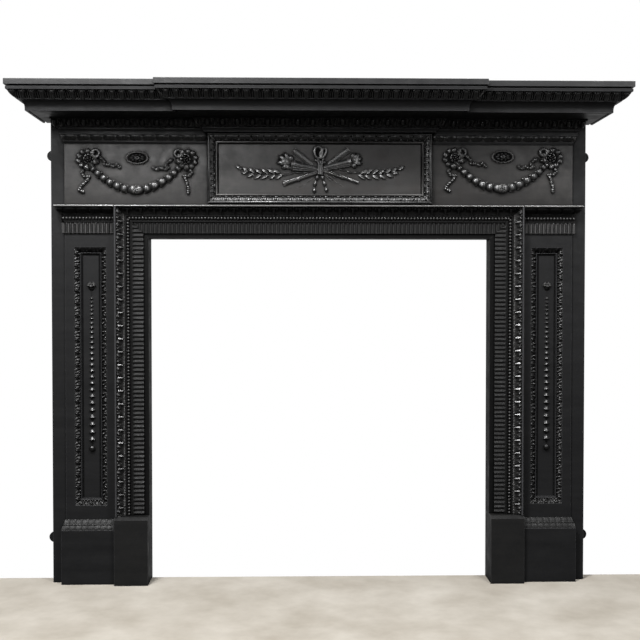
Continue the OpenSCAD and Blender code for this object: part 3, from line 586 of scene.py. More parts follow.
# %% Cornice and bed mould
SOFFIT, BED = 1294.5, 1228.5            # the feet of cornice and bed mould
FACE, SIDE_FACE = 54, 48      # the fronts of the plates and of the side strips
OUTER_END, FRIEZE_IN = 710.5, 312.5     # both ends of the frieze beside the tablet
BED_RETURN = 31 / 38      # how far the mouldings stand out at their ends


def whole(half_plan):
    """Both halves of a plan, from the right half that starts at the wall."""
    return [(-x, depth) for x, depth in half_plan] + half_plan[::-1]


def end_plan(way, inner):
    """The plan of a moulding that starts on the side strip and runs inwards over the plates."""
    return [(way * OUTER_END, SIDE_FACE), (way * OUTER_END, FACE), (way * inner, FACE)]


cornice_plan = whole([(782, 0), (782, 191), (391.5, 191), (391.5, 211)])
bed_plan = whole([(OUTER_END, SIDE_FACE), (OUTER_END, FACE), (309, FACE), (309, 74)])
tongue_face = [(17, SOFFIT + 29), (26.2, SOFFIT + 36), (34.8, SOFFIT + 45), (38.6, SOFFIT + 50.4)]
egg_face = [(19, BED + 42), (27, BED + 46), (33, BED + 54), (36, BED + 62)]
leaf_face = [(4, BED + 8), (6, BED + 14), (9.5, BED + 20.5), (11, BED + 24.5)]

tongue_band = bmesh.new()
for i in range(7):
    carve_run(tongue_band, cornice_plan, i, tongue_face, tongues, 25.7, (14, 11), across_plan, shift=0.5)
ornament("cornice_tongue_band", tongue_band, "cornice_tongues")

for part, runs in (("left", (0, 1)), ("centre", (2, 3, 4)), ("right", (5, 6))):
    eggs = bmesh.new()
    for i in runs:
        carve_run(eggs, bed_plan, i, egg_face, egg_and_dart, 40.5, (20, 12), across_plan,
                  shrink={0: BED_RETURN, 6: BED_RETURN}, shift=0.5)
    ornament("egg_and_dart_" + part + "_carving", eggs, "egg_and_dart_" + part)

for side, way in SIDES:
    leaves = bmesh.new()
    for i in (0, 1):
        carve_run(leaves, end_plan(way, FRIEZE_IN), i, leaf_face, lambda u, t: small_leaf(u, 1 - t),
                  35.5, (16, 8), across_plan, turn=-way, shrink={0: BED_RETURN})
    ornament("frieze_leaf_" + side + "_carving", leaves, "frieze_leaf_" + side)
print("cornice and bed mould carved")


# %% [markdown]
# ### The architrave and the caps
# Flutes, a row of pearls and a leaf cyma run up both jambs and over the head, and the same members
# run along the caps of the pilasters.

# %% Pearls and darts
PEARL, SMALL_PEARL, PEARL_PITCH = 3.7, 1.8, 9.15


def pearl(bm, place, radius):
    """One pearl, a few faces only, because there are hundreds of them."""
    made = bmesh.ops.create_uvsphere(bm, u_segments=8, v_segments=6, radius=radius)["verts"]
    bmesh.ops.translate(bm, verts=made, vec=place)


def ridge(bm, wide_end, thin_end, half, thin_half, out, web):
    """A ridge with two sloping sides. out is the way its crest looks, web how deep its foot reaches."""
    start, end = Vector(wide_end), Vector(thin_end)
    run = end - start
    across = run.cross(out).normalized()
    verts = bmesh.ops.create_cone(bm, cap_ends=True, segments=4, radius1=half, radius2=thin_half,
                                  depth=1)["verts"]
    for v in verts:
        share = v.co.z + 0.5
        crest = v.co.y * 0.55 if v.co.y > -0.5 else -web
        v.co = start + run * share + across * v.co.x + Vector(out) * crest


# %% The frame round the opening
opening = [(478, 191), (478, 966), (-478, 966), (-478, 191)]
flute_face = [(14, 61), (45, 61)]
cyma_face = [(65, 67.05), (71.3, 68.55), (79.7, 78.5), (86, 80)]
string_face = [(49.6, 62.2), (60.4, 62.2)]
rim_face = [(86.4, 82), (87.2, 83.8), (88.6, 84.4), (90.2, 83.6), (91.6, 81.5)]
BEAD_U, BEAD_D = 55.4, 64.2
CYMA_PITCH = {"right": (35.9, -0.54), "head": (36.77, 0.0), "left": (36.2, 0.463)}
PAST_CORNER, AT_FOOT = 66, -4       # how far the darts go on at a mitre and at the foot
OUT = Vector((0, -1, 0))
for part, i in (("right", 0), ("head", 1), ("left", 2)):
    is_head = part == "head"
    pitch, shift = CYMA_PITCH[part]
    given = dict(to_row=across_face, turn=-1)
    band, rim, cyma, string, row = (bmesh.new() for member in range(5))
    carve_run(band, opening, i, flute_face, open_flutes if is_head else flutes, FLUTE_PITCH, (10, 18),
              back=3.5, **given)
    carve_run(rim, opening, i, rim_face, plain, 300, (1, 1), back=2, **given)
    carve_run(cyma, opening, i, cyma_face, leaf_and_dart, pitch, (26, 14), back=4, shift=shift,
              exact=False, **given)
    carve_run(string, opening, i, string_face, plain, 200, (1, 1), back=1.0, **given)
    a, b = Vector(opening[i]), Vector(opening[i + 1])
    way = (b - a).normalized()
    aside = Vector((way.y, -way.x))
    before = (b - a).length / 2 + (PAST_CORNER if i else AT_FOOT)
    after = (b - a).length / 2 + (PAST_CORNER if i < 2 else AT_FOOT)
    for k in range(-16, 17):
        s = (k + 0.5 - shift) * pitch
        foot = (a + b) / 2 + way * s
        if -before < s < after:
            ridge(cyma, across_face(foot + aside * 81.5, 78.4), across_face(foot + aside * 68, 74.0),
                  4.2, 1.0, OUT, 8)
        if -before - 12 < s + pitch / 2 < after + 12:
            pearl(cyma, across_face(foot + way * pitch / 2 + aside * 83.9, 79.4), 2.5)
    start = a + aside * BEAD_U - way * (BEAD_U if i else 0)
    end = b + aside * BEAD_U + way * (BEAD_U if i < 2 else 0)
    count = round((end - start).length / PEARL_PITCH)
    for k in range(count):
        place = start + (end - start) * ((k + 0.5) / count)
        pearl(row, across_face(place, BEAD_D), PEARL)
        if is_head:
            pearl(string, across_face(place - aside * 6.9, 62.0), SMALL_PEARL)
    ornament("flutes_" + part, band, "flute_strip_" + part, "fluted_iron")
    add_piece("rim_fillet_" + part, rim, "black_iron",
              "architrave_head" if is_head else "architrave_jamb_" + part,
              finish="rubbed_ornament" if is_head else None)
    # The leaf cyma of the head takes the shaded finish, a painted shade.
    ornament("leaf_cyma_" + part, cyma, "leaf_strip_" + part, "shaded_iron" if is_head else None)
    # the strip behind the pearls takes the near-black finish, a painted shade between the pearls; on the
    # head its small pearls too
    ornament("pearl_groove_in_painted_shade_" + part, string, "bead_row_" + part, "painted_shadow_line")
    ornament("pearls_" + part, row, "bead_row_" + part, "rubbed_ornament")
print("architrave carved")

# %% The pilaster caps
CAP_IN = 570
CAP_PLAIN = (([(3, 978), (3, 1011)], 3.0), ([(8, 1011), (8, 1031)], 8.0),
             ([(27, 1051.6), (29, 1051.8), (29, 1058), (27, 1058)], 27.0))
cap_flutes = [(7, 981), (7, 1011)]
cap_leaf = [(13, 1031), (14.5, 1037.3), (24.5, 1045.7), (26, 1052)]
cap_rim = [(28.6, 1053), (29.8, 1054), (29.8, 1055.2), (29, 1056.6), (27.5, 1057.8)]
for side, way in SIDES:
    plan, node = end_plan(way, CAP_IN), "pilaster_cap_" + side
    given = dict(to_row=across_plan, turn=-way, shrink={0: 24 / 29})
    cap, fluted, row = bmesh.new(), bmesh.new(), bmesh.new()
    for i in (0, 1):
        for profile, back in CAP_PLAIN:
            carve_run(cap, plan, i, profile, plain, 300, (1, 1), back=back, **given)
        carve_run(fluted, plan, i, cap_flutes, open_flutes, FLUTE_PITCH, (10, 18), back=4.0, **given)
        carve_run(cap, plan, i, cap_leaf, small_leaf, 36.6, (26, 14), back=6.0, shift=0.5, **given)
        carve_run(row, plan, i, cap_rim, plain, 300, (1, 1), back=2.0, **given)
    for k in range(16):
        x = way * (574.5 + k * PEARL_PITCH)
        pearl(row, across_plan(Vector((x, FACE + 10.2)), 1021.4), PEARL)
        pearl(cap, across_plan(Vector((x, FACE + 8.0)), 1014.5), SMALL_PEARL)
    # The cap's fillets, leaf and small pearls take the shaded finish, a painted shade under the cap.
    ornament(node + "_carving", cap, node, "shaded_iron")
    ornament(node + "_flutes", fluted, node)
    ornament(node + "_pearls", row, node, "rubbed_ornament")
print("caps carved")


# %% [markdown]
# ### Frames of the tablet, the panels and the plinths

# %% Tablet frame, panel frames and plinth leaves
def frame_round(x0, x1, z0, z1, profile, lift=plain, pitch=900, cells=(1, 1), back=4, sides=range(4)):
    """The mitred sides of one member of a frame. The profile is measured inwards."""
    bm = bmesh.new()
    corners = [(x0, z0), (x1, z0), (x1, z1), (x0, z1)]
    for i in sides:
        carve_run(bm, corners, i, profile, lift, pitch, cells, across_face, closed=True, back=back)
    return bm


# The painted shadow strips leave out the foot, where the light from above throws no shadow.
ALL_BUT_FOOT = (1, 2, 3)
SHADOW_LINE = 0.4      # thickness of a painted shadow strip along the joint
tablet = (-FRIEZE_IN, FRIEZE_IN, 1061, 1258)
tablet_outer = [(0, 64), (0, 73), (1, 74), (6.5, 74), (7.5, 73), (7.5, 70)]
tablet_inner = [(23.2, 65), (23.4, 67.8), (24.4, 69), (25.6, 69), (28, 65.4), (28, 64)]
tablet_carved = [(7, 73.4), (12, 73), (18, 70.5), (23.5, 67)]
ornament("tablet_frame_rim", frame_round(*tablet, tablet_outer), "tablet_frame")
ornament("tablet_frame_fillet", frame_round(*tablet, tablet_inner, back=1), "tablet_frame",
         "rubbed_ornament")
ornament("tablet_frame_carving", frame_round(*tablet, tablet_carved, tablet_leaf, 35.6, (26, 14)),
         "tablet_frame")
# painted shadow inside the tablet frame, on its top and sides
line = frame_round(*tablet, [(27.8, 64.5), (31.6, 64.5)], back=SHADOW_LINE, sides=ALL_BUT_FOOT)
add_piece("tablet_painted_shadow_line", line, "panel_iron", "tablet_panel", finish="painted_shadow_line")

PILASTER_MID, PANEL_HALF, PANEL_FOOT, PANEL_TOP = 640.25, 44.25, 218.5, 941
PLINTH_IN = 572
panel_carved = [(0, 54.3), (4, 53.6), (10.5, 50), (15.2, 46.8)]
panel_inner = [(15, 45), (15, 48.4), (15.7, 48.9), (19.9, 45.4), (20, 44.6)]
PLINTH_RUNS = (([(18, 152), (17.5, 153.5), (12, 164.6)], plinth_leaf, (14, 8), 10),
               ([(9.5, 164.6), (9.5, 167)], plain, (1, 1), 9),
               ([(10.5, 167), (1.8, 180)], plinth_leaf, (14, 8), 4))
for side, way in SIDES:
    panel = (way * PILASTER_MID - PANEL_HALF, way * PILASTER_MID + PANEL_HALF, PANEL_FOOT, PANEL_TOP)
    node = "panel_frame_" + side
    ornament(node + "_carving",
             frame_round(*panel, panel_carved, lobed_leaf, 35.2, (26, 12), sides=(0, 1, 3)), node)
    # The head of the panel frame takes the shaded finish, a painted shade under the frame's top.
    ornament(node + "_head", frame_round(*panel, panel_carved, worn_leaf, 33.2, (26, 12), sides=(2,)),
             node, "shaded_iron")
    ornament(node + "_fillet", frame_round(*panel, panel_inner, back=2), node, "black_iron")
    # painted shadow inside the panel frame, on its top and sides
    line = frame_round(*panel, [(19.8, 44.5), (22.6, 44.5)], back=SHADOW_LINE, sides=ALL_BUT_FOOT)
    add_piece("sunk_panel_" + side + "_painted_shadow_strip", line, "black_iron", "sunk_panel_" + side,
              finish="painted_shadow_line")
    block = bmesh.new()
    for i in (0, 1):
        for profile, lift, cells, back in PLINTH_RUNS:
            carve_run(block, end_plan(way, PLINTH_IN), i, profile, lift, 17.3, cells, across_plan,
                      turn=-way, shrink={0: 10.5 / 18.5}, back=back)
    ornament("plinth_moulding_" + side + "_carving", block, "plinth_moulding_" + side, "fluted_iron")
print("frames carved")


# %% [markdown]
# ## The applied ornament
# Swags, paterae, the trophy of torches, laurels and husk drops were modelled by hand for the mould
# and lie flat on their plates. Sculpting would give the softest forms. Here every leaf, petal, husk
# and ribbon end is one rounded form that is squeezed to an outline and laid on the plate, and reeds
# and rings do the rest, so each can be set where the casting has it.

# %% Leaves, rods and rings that lie on a plate
def bud(bm, root, tip, width, rise, depth, belly=0.5, blunt=0.6, vein=0.0, crown=0.8, around=10, rings=7,
        waist=False):
    """A form from root to tip, widest at its belly. blunt under 1 rounds its ends, over 1 points
    them. vein sinks a groove along its middle. A low crown makes it flat across with full sides. waist
    gives it a sharp ridge at its belly, with straight slopes to both ends."""
    verts = bmesh.ops.create_uvsphere(bm, u_segments=around, v_segments=rings, radius=1)["verts"]
    root, tip = Vector(root), Vector(tip)
    forward = (tip - root).normalized()
    aside = Vector((-forward.y, forward.x))
    power = math.log(0.5) / math.log(belly)
    for v in verts:
        a = (v.co.z + 1) / 2
        size = math.hypot(v.co.x, v.co.y)
        side, up = (v.co.x / size, v.co.y / size) if size > 1e-5 else (0.0, -1.0)
        swell = math.sin(math.pi * min(max(a, 0.0), 1.0) ** power) ** blunt if 0 < a < 1 else 0.0
        if waist:
            swell = max(0.0, min(a / belly, (1 - a) / (1 - belly))) ** blunt
        place = root + (tip - root) * a + aside * (side * width / 2 * swell)
        height = rise * swell * max(0.0, up) ** crown - 0.8
        height -= vein * swell * max(0.0, 1 - abs(side) / 0.35) if up > 0 else 0
        v.co = across_face(place, depth + height)


def rod(bm, start, end, radius, end_radius, depth, flat=1.0, sides=10):
    """A round rod or tube, tapered from one end to the other, half in the plate."""
    start, end = Vector(start), Vector(end)
    size = (end - start).length
    aside = Vector((start.y - end.y, end.x - start.x)) / size
    verts = bmesh.ops.create_cone(bm, cap_ends=True, segments=sides, radius1=radius,
                                  radius2=end_radius, depth=size)["verts"]
    for v in verts:
        place = start + (end - start) * (v.co.z / size + 0.5) + aside * v.co.x
        v.co = across_face(place, depth + v.co.y * flat)


def ring(bm, centre, half_width, half_height, thick, depth, turn=0.0, sides=8, steps=20):
    """An oval ring or loop, turned by an angle in degrees."""
    old = set(bm.verts)
    section = bmesh.ops.create_circle(bm, segments=sides, radius=thick)["verts"]
    bmesh.ops.translate(bm, vec=(100, 0, 0), verts=section)
    edges = {e for v in section for e in v.link_edges}
    bmesh.ops.spin(bm, geom=section + list(edges), axis=(0, 1, 0), cent=(0, 0, 0),
                   angle=2 * math.pi, steps=steps, use_merge=True)
    c, s = math.cos(math.radians(turn)), math.sin(math.radians(turn))
    for v in bm.verts:
        if v not in old:
            angle, thickness = math.atan2(v.co.z, v.co.x), math.hypot(v.co.x, v.co.z) - 100
            x = (half_width + thickness) * math.cos(angle)
            z = (half_height + thickness) * math.sin(angle)
            v.co = across_face(Vector((centre[0] + c * x - s * z, centre[1] + s * x + c * z)),
                               depth + v.co.y)


def chain(bm, places, width, rise, depth, overlap=0.3, **shape):
    """Buds one after the other along a line of places, like a ribbon that twists."""
    for a, b in zip(places, places[1:]):
        a, b = Vector(a), Vector(b)
        bud(bm, a - (b - a) * overlap, b + (b - a) * overlap, width, rise, depth, **shape)


def painted_shade_disc(bm, centre, half_width, half_height, low, high):
    """A flat oval laid under an ornament, to show as a painted shade between its forms."""
    verts = bmesh.ops.create_cone(bm, cap_ends=True, segments=36, radius1=1, radius2=1, depth=1)["verts"]
    for v in verts:
        place = Vector(centre) + Vector((v.co.x * half_width, v.co.y * half_height))
        v.co = across_face(place, low + (high - low) * (v.co.z + 0.5))


def shifted(places, dx, dz):
    return [(x + dx, z + dz) for x, z in places]


def spokes(count, phase, half_width, half_height):
    """The way from the centre of an oval to each of its petals."""
    for k in range(count):
        angle = 2 * math.pi * (k + phase) / count
        yield Vector((half_width * math.cos(angle), half_height * math.sin(angle)))


# %% [markdown]
# ### Swags and paterae
# One casting serves on both sides of the frieze. A garland of husks hangs between two ribbon bows,
# heavier and rougher in the middle, and ribbon ends curl beside the bows.

# %% Swags
GARLAND = [(-127, -20), (-118, -29), (-102, -42), (-86, -55), (-68, -66), (-47, -75), (-27, -80),
           (-2, -82), (18, -81), (38, -75), (60, -64), (80, -53), (97, -41), (110, -27), (120, -16)]
RIBBON_ENDS = [
    [(-146, -24), (-154, -34), (-147, -45), (-132, -46), (-142, -60), (-155, -71), (-161, -83),
     (-149, -88)],
    [(-106, 12), (-98, 5), (-90, -3), (-90, -12), (-77, -12), (-66, -17), (-56, -11), (-48, -20)],
    [(102, 6), (84, -6), (79, -15), (88, -20), (78, -25), (64, -21), (54, -25), (44, -20)],
    [(144, -22), (152, -34), (143, -43), (128, -43), (136, -56), (138, -66), (142, -78), (141, -90)]]
BOW, BOW_WIDE, BOW_HIGH = (139, 3), 31, 29
BOW_LOOP, BOW_FLOWER = (114, 19), (134, 4)
RIBBON_DROPS = [((136, -6), (118, -22)), ((140, -8), (134, -30)), ((122, 4), (104, -7))]
BERRIES, GOLDEN_ANGLE = 26, 2.4         # the heart of a garland


def rose(bm, centre, radius, depth):
    """Two rings of petals round a button."""
    centre = Vector(centre)
    for petals, near, far, rise in ((8, 0.50, 1.02, 9), (5, 0.14, 0.58, 12)):
        for d in spokes(petals, petals % 2 / 2, radius, radius):
            bud(bm, centre + d * near, centre + d * far, 3.4 * radius * (near + far) / petals, rise, depth,
                belly=0.6, blunt=0.5, vein=1.5, around=8, rings=6)
    pearl(bm, across_face(centre, depth + 11), 0.15 * radius)


def bow(bm, way, dx, dz):
    """A crumpled bow: a ring of broad folds, a flower in the middle, a loop above and short drops."""
    def there(place):
        return Vector((way * place[0] + dx, place[1] + dz))

    centre = there(BOW)
    for k, d in enumerate(spokes(10, 0.3, BOW_WIDE, BOW_HIGH)):
        lean = Vector((-d.y, d.x)) * 0.22
        bud(bm, centre + d * 0.50 - lean, centre + d * 0.98 + lean, 15 + 2 * (k % 3), 10 + 3 * (k % 2),
            FACE, belly=0.6, blunt=0.45, vein=1.5)
    rose(bm, there(BOW_FLOWER), 15, FACE + 1)
    ring(bm, there(BOW_LOOP), 9.5, 10, 4.2, FACE + 5, steps=16)
    for root, tip in RIBBON_DROPS:
        bud(bm, there(root), there(tip), 14, 14, FACE, belly=0.65, blunt=0.45)


def swag(bm, dx, dz):
    """A garland that hangs from two bows, with berries in its middle, and the ribbons' ends."""
    half = len(GARLAND) // 2
    for k, (a, b) in enumerate(zip(GARLAND, GARLAND[1:])):
        if k >= half:
            a, b = b, a
        a, b = Vector(a) + Vector((dx, dz)), Vector(b) + Vector((dx, dz))
        fat = 16 + 8 * (1 - abs(k + 0.5 - half) / half)
        step, turned = b - a, Vector((a.y - b.y, b.x - a.x)) * 0.42
        bud(bm, a - step * 0.08, b + step * 0.12, fat * 1.12, 15, FACE, belly=0.58, blunt=0.42,
            crown=0.6, around=16, rings=11, vein=1.2)
        for way in (-1, 1):
            bud(bm, a + step * 0.35, b + step * 0.1 + turned * way * 1.3, fat * 0.40, 8, FACE, belly=0.7)
    middle = Vector(GARLAND[half]) + Vector((dx, dz))
    for k in range(BERRIES):
        angle, out = k * GOLDEN_ANGLE, math.sqrt((k + 0.5) / BERRIES)
        place = middle + Vector((11 * out * math.cos(angle), 11 * out * math.sin(angle)))
        pearl(bm, across_face(place, FACE + 14 * math.sqrt(max(0.05, 1 - out * out * 0.8))), 2.6)
    for places in RIBBON_ENDS:
        chain(bm, shifted(places, dx, dz), 12.5, 10, FACE, overlap=0.02, belly=0.6, blunt=0.5)
        for place in shifted(places[1:], dx, dz):
            pearl(bm, across_face(Vector(place), FACE + 3.5), 4.4)
    for way in (-1, 1):
        bow(bm, way, dx, dz)


def patera(bm, centre, half_width, half_height):
    """An oval rosette: a scalloped rim, an inner ring of petals and a button, with hollows between."""
    c = Vector(centre)
    for petals, near, far, width, rise in ((16, 0.74, 1.02, 10.5, 8.5), (9, 0.26, 0.62, 9.0, 8.0)):
        for d in spokes(petals, 0.5, half_width, half_height):
            bud(bm, c + d * near, c + d * far, width, rise, FACE, belly=0.55, blunt=0.5, around=8,
                rings=6)
    ring(bm, centre, 0.88 * half_width, 0.84 * half_height, 1.5, FACE + 5, steps=36)
    ring(bm, centre, 0.15 * half_width, 0.17 * half_height, 2.4, FACE + 5, steps=14)


UNDER = 0.5           # how far a painted shade disc reaches into its plate
for side, x, z in (("left", -508.3, 1182), ("right", 513, 1188)):
    garland, ground = bmesh.new(), bmesh.new()
    swag(garland, x, z)
    # painted shade: a dark disc behind each bow darkens the gaps between its folds
    for way in (-1, 1):
        painted_shade_disc(ground, (x + way * BOW[0], z + BOW[1]), BOW_WIDE * 0.86, BOW_HIGH * 0.86, FACE - UNDER,
             FACE + 2.5)
    ornament("swag_" + side + "_casting", garland, "swag_" + side, "bright_ornament")
    ornament("swag_" + side + "_painted_shade_patch", ground, "swag_" + side, "shaded_iron")
    rosette, ground = bmesh.new(), bmesh.new()
    patera(rosette, (x, z + 7), 33, 18.5)
    # painted shade: a dark disc behind the patera darkens the gaps between its petals
    painted_shade_disc(ground, (x, z + 7), 31.5, 17.5, FACE - UNDER, FACE + 1.5)
    ornament("patera_" + side + "_casting", rosette, "patera_" + side, "bright_ornament")
    ornament("patera_" + side + "_painted_shade_patch", ground, "patera_" + side, "shaded_iron")
print("swags and paterae laid on")

# %% [markdown]
# ### The trophy on the tablet
# Two torches and two quivers are crossed and bound with a ribbon, with a bow above and laurel
# branches out to both sides.

# %% Torches, quivers and bow
TABLET = 64


def torch(bm, near, collar, flare, tips, near_width, far_width):
    """A reeded torch from the binding, with a collar, a smooth cup and a head of flames."""
    near, collar, flare = Vector(near), Vector(collar), Vector(flare)
    forward = (flare - near).normalized()
    aside = Vector((-forward.y, forward.x))
    under = -1 if aside.y > 0 else 1
    rod(bm, near, flare, near_width * 0.5, far_width * 0.5, TABLET + 1, 0.62, sides=16)
    for k in range(3):
        across = under * (0.05 + 0.2 * k)
        rod(bm, near + aside * across * near_width, flare + aside * across * far_width,
            near_width / 9, far_width / 9, TABLET + 1 + (0.56 - 0.13 * k) * far_width * 0.5)
    size = near_width + (far_width - near_width) * (collar - near).length / (flare - near).length
    rod(bm, collar - forward * 1.8, collar + forward * 1.8, size * 0.54, size * 0.54, TABLET + 1, 0.75)
    rod(bm, flare - forward * 3, flare + forward * 6, far_width * 0.5, far_width * 0.6, TABLET, 0.7)
    for tip in tips:
        bud(bm, flare + forward * 4, tip, 15, 13, TABLET, belly=0.62, vein=1.5)


def slat(bm, start, end, width, depth):
    """A flat square-ended blade with raised borders."""
    start, end = Vector(start), Vector(end)
    forward = (end - start).normalized()
    aside = Vector((-forward.y, forward.x)) * width / 2
    rod(bm, start, end, width * 0.5, width * 0.5, depth, 0.32, sides=8)
    for way in (-1, 1):
        rod(bm, start + aside * way, end + aside * way, 1.4, 1.4, depth + 1.5, sides=6)
    rod(bm, end - aside, end + aside, 1.6, 1.6, depth + 1.5, sides=6)


MX, MZ = 0.7, 1155        # the binding of the trophy
HANDLES = (((-104, 8), (-82, 6), 3.4, 3.4, 3), ((-8, -7), (-102, -38), 5, 6.5, 1),
           ((-10, -4), (-98, -33), 1.6, 2.2, 6), ((-58, -24), (-63, -26), 7.5, 7.5, 1),
           ((60, -18), (64, -19.3), 7, 7, 2), ((62, -18.5), (106, -34), 5.6, 4.8, 1))
RIBBONS = (((-112, -15), (-89, -12), (-70, -6), (-50, -8), (-30, -8), (-8, -6)),
           ((12, -1), (34, 4), (52, 3), (72, -2), (91, -7), (112, -3)))
THREADS = (((-8, -14), (-22, -23), (-44, -40), (-64, -48)),
           ((10, -14), (24, -21), (42, -31), (64, -45)))
KNOT = (((-2, 22), (-18, 30)), ((0, 22), (-12, 38)), ((3, 22), (14, 37)), ((4, 20), (19, 24)))
TAILS = (((-3, -10), (-13, -31)), ((-12, -25), (-17, -49)), ((-17, -45), (-16, -65)),
         ((3, -10), (9, -31)), ((8, -26), (15, -47)), ((15, -43), (19, -63)))
PAINTED_SHADE_DISCS = (((-100, 28), 17, 19), ((99, 31), 15, 18), ((1, 46), 13, 16))


def at(*places):
    """Places on the tablet from places round the binding."""
    return [(x + MX, z + MZ) for x, z in places]


trophy, ground = bmesh.new(), bmesh.new()
slat(trophy, *at((-22, 16), (-73, 55)), 14, TABLET)
slat(trophy, *at((24, 16), (79, 58)), 15, TABLET)
torch(trophy, *at((-7, 2), (-51, 10), (-74, 14)),
      at((-124, 22), (-118, 41), (-101, 51), (-82, 44), (-109, 5), (-113, 28)), 12, 30)
torch(trophy, *at((9, 6), (47, 15), (80, 22)),
      at((119, 35), (112, 47), (96, 51), (119, 18), (101, 6), (108, 29)), 14, 23)
for start, end, radius, end_radius, lift in HANDLES:
    rod(trophy, *at(start, end), radius, end_radius, TABLET + lift)
for end in at((-104, -26), (-107, -37), (-103, -45)):
    bud(trophy, *at((-92, -35)), end, 8, 7, TABLET)
rod(trophy, *at((6, 0), (64, -19)), 6.5, 5.6, TABLET + 2, 0.8)
for lift, across in ((7.2, 2.2), (6.4, -1.6)):
    rod(trophy, *at((8, across), (62, -18 + across)), 1.7, 1.5, TABLET + lift, sides=8)
for k in range(4):
    rod(trophy, *at((10, -4 - 2.4 * k), (50 - 7 * k, -18 - 3.4 * k)), 1.6, 1.6, TABLET + 1.5, sides=6)
for places in RIBBONS:
    chain(trophy, at(*places), 6, 6, TABLET, 0.1)
for places in THREADS:
    chain(trophy, at(*places), 2, 2.6, TABLET, 0.05, around=6, rings=5)
ring(trophy, *at((-5, 49)), 11, 16, 4.6, TABLET + 5, 8)
ring(trophy, *at((8, 47)), 7, 14, 4.2, TABLET + 5, -24)
for root, tip in KNOT:
    bud(trophy, *at(root, tip), 10, 9, TABLET)
for x in (-4.4, 0, 4.4):
    rod(trophy, *at((x, -12), (x, 12)), 3, 3, TABLET + 10 - abs(x) * 0.5)
    rod(trophy, *at((x, 10), (x * 1.3, 26)), 2.6, 3, TABLET + 5)
for root, tip in TAILS:
    bud(trophy, *at(root, tip), 13, 10, TABLET, belly=0.55, waist=True, rings=9)
# painted shade: dark discs behind the flames and the bow of the trophy
for centre, wide, high in PAINTED_SHADE_DISCS:
    painted_shade_disc(ground, *at(centre), wide, high, TABLET - UNDER, TABLET + 3)
ornament("trophy_casting", trophy, "trophy", "bright_ornament")
ornament("trophy_painted_shade", ground, "trophy", "shaded_iron")

# %% Laurel branches
BRANCH = [(56, -9), (108, -9), (136, -12), (162, -11), (189, -8), (214, 1), (226, 7)]
LAUREL = [((108, -9), (136, 2)), ((104, -10), (130, -27)), ((122, -10), (150, 4)),
          ((122, -12), (146, -26)), ((140, -12), (166, 5)), ((142, -12), (170, -26)),
          ((158, -11), (184, 4)), ((162, -11), (188, -25)), ((178, -9), (202, 7)),
          ((182, -9), (208, -19)), ((196, -6), (218, 9)), ((200, -5), (222, -8)),
          ((214, 1), (238, 13))]
for side, way in SIDES:
    branch = bmesh.new()
    chain(branch, at(*[(way * x, z) for x, z in BRANCH]), 3.2, 3, TABLET, 0.1, around=6, rings=5)
    for root, tip in LAUREL:
        bud(branch, *at((way * root[0], root[1]), (way * tip[0], tip[1])), 12, 9.5, TABLET,
            belly=0.45, blunt=0.9, vein=2.5)
    ornament("laurel_" + side + "_casting", branch, "laurel_" + side, "bright_ornament")
print("trophy and laurels laid on")

# %% [markdown]
# ### Husk drops
# A string of husks hangs down each sunk panel. They grow to the foot, where the last one holds a
# round berry.

# %% Husk drops
SUNK, HUSKS, BERRY, BERRY_Z = 44, 26, 9, 378
FIRST_HUSK, HUSK_STEP, HUSK_GROWTH = 799.7, 9.97, 0.2313
BELLS = ((-4.5, 845, 836, 8, 8), (4.5, 845, 836, 8, 8), (-7.5, 842, 829, 11, 12),
         (7.5, 842, 829, 11, 12), (-0.5, 842, 825, 12, 14))
for side, x in (("left", -638.5), ("right", 642)):
    bells, drop, string = bmesh.new(), bmesh.new(), bmesh.new()
    for dx, top, foot, wide, rise in BELLS:
        bud(bells, (x + dx, top), (x + dx, foot), wide, rise, SUNK, belly=0.55, crown=0.6, rings=11,
            waist=True)
    # painted shadow: a dark form under the rosette, and a dark neck under each husk, go with the thread
    # into the near-black shaded finish
    bud(string, (x, 833), (x, 818), 18, 5, SUNK, belly=0.4)
    rod(string, (x, 822), (x, 798), 1.2, 1.2, SUNK + 0.4, sides=6)
    for i in range(HUSKS):
        bright = FIRST_HUSK - HUSK_STEP * i - HUSK_GROWTH * i * i
        size = 10.2 + 0.46 * i
        wide = 11 + 9.5 * i / (HUSKS - 1)
        bud(drop, (x, bright + size * 0.36), (x, bright - size * 0.30), wide, 0.40 * wide + 1, SUNK,
            belly=0.84, blunt=0.62, crown=0.45, around=16, rings=13, waist=True)
        # the dark neck under this husk, a painted shadow
        rod(string, (x, bright - size * 0.2), (x, bright - size * 0.7), 0.2 * wide, 0.14 * wide, SUNK)
    ball = bmesh.ops.create_uvsphere(drop, u_segments=16, v_segments=10, radius=BERRY)["verts"]
    bmesh.ops.translate(drop, vec=across_face(Vector((x, BERRY_Z)), SUNK + 2), verts=ball)
    node = "husk_drop_" + side
    ornament(node + "_rosette", bells, node, "bright_ornament")
    ornament(node + "_casting", drop, node)
    ornament(node + "_string_in_painted_shadow", string, node, "shaded_iron")
print("husk drops laid on")


# %% [markdown]
# ## Floor and light
# A pale floor, a white wall behind and soft light from the upper left. The iron shines like the
# real one where it mirrors something pale at a flat angle, as under the ends of the cornice.

# %% Stage
STAGE_HALF = 6        # metres, of the floor and of the wall


def light_path(tree, ray):
    return add_node(tree, "LightPath").outputs[ray]


def choose(tree, amount, a, b, output):
    """A mix of two shaders, sent to the output node."""
    node = add_node(tree, "MixShader", Fac=amount)
    feed(tree, a.outputs[0], node.inputs[1])
    feed(tree, b.outputs[0], node.inputs[2])
    feed(tree, node.outputs[0], tree.nodes[output].inputs["Surface"])


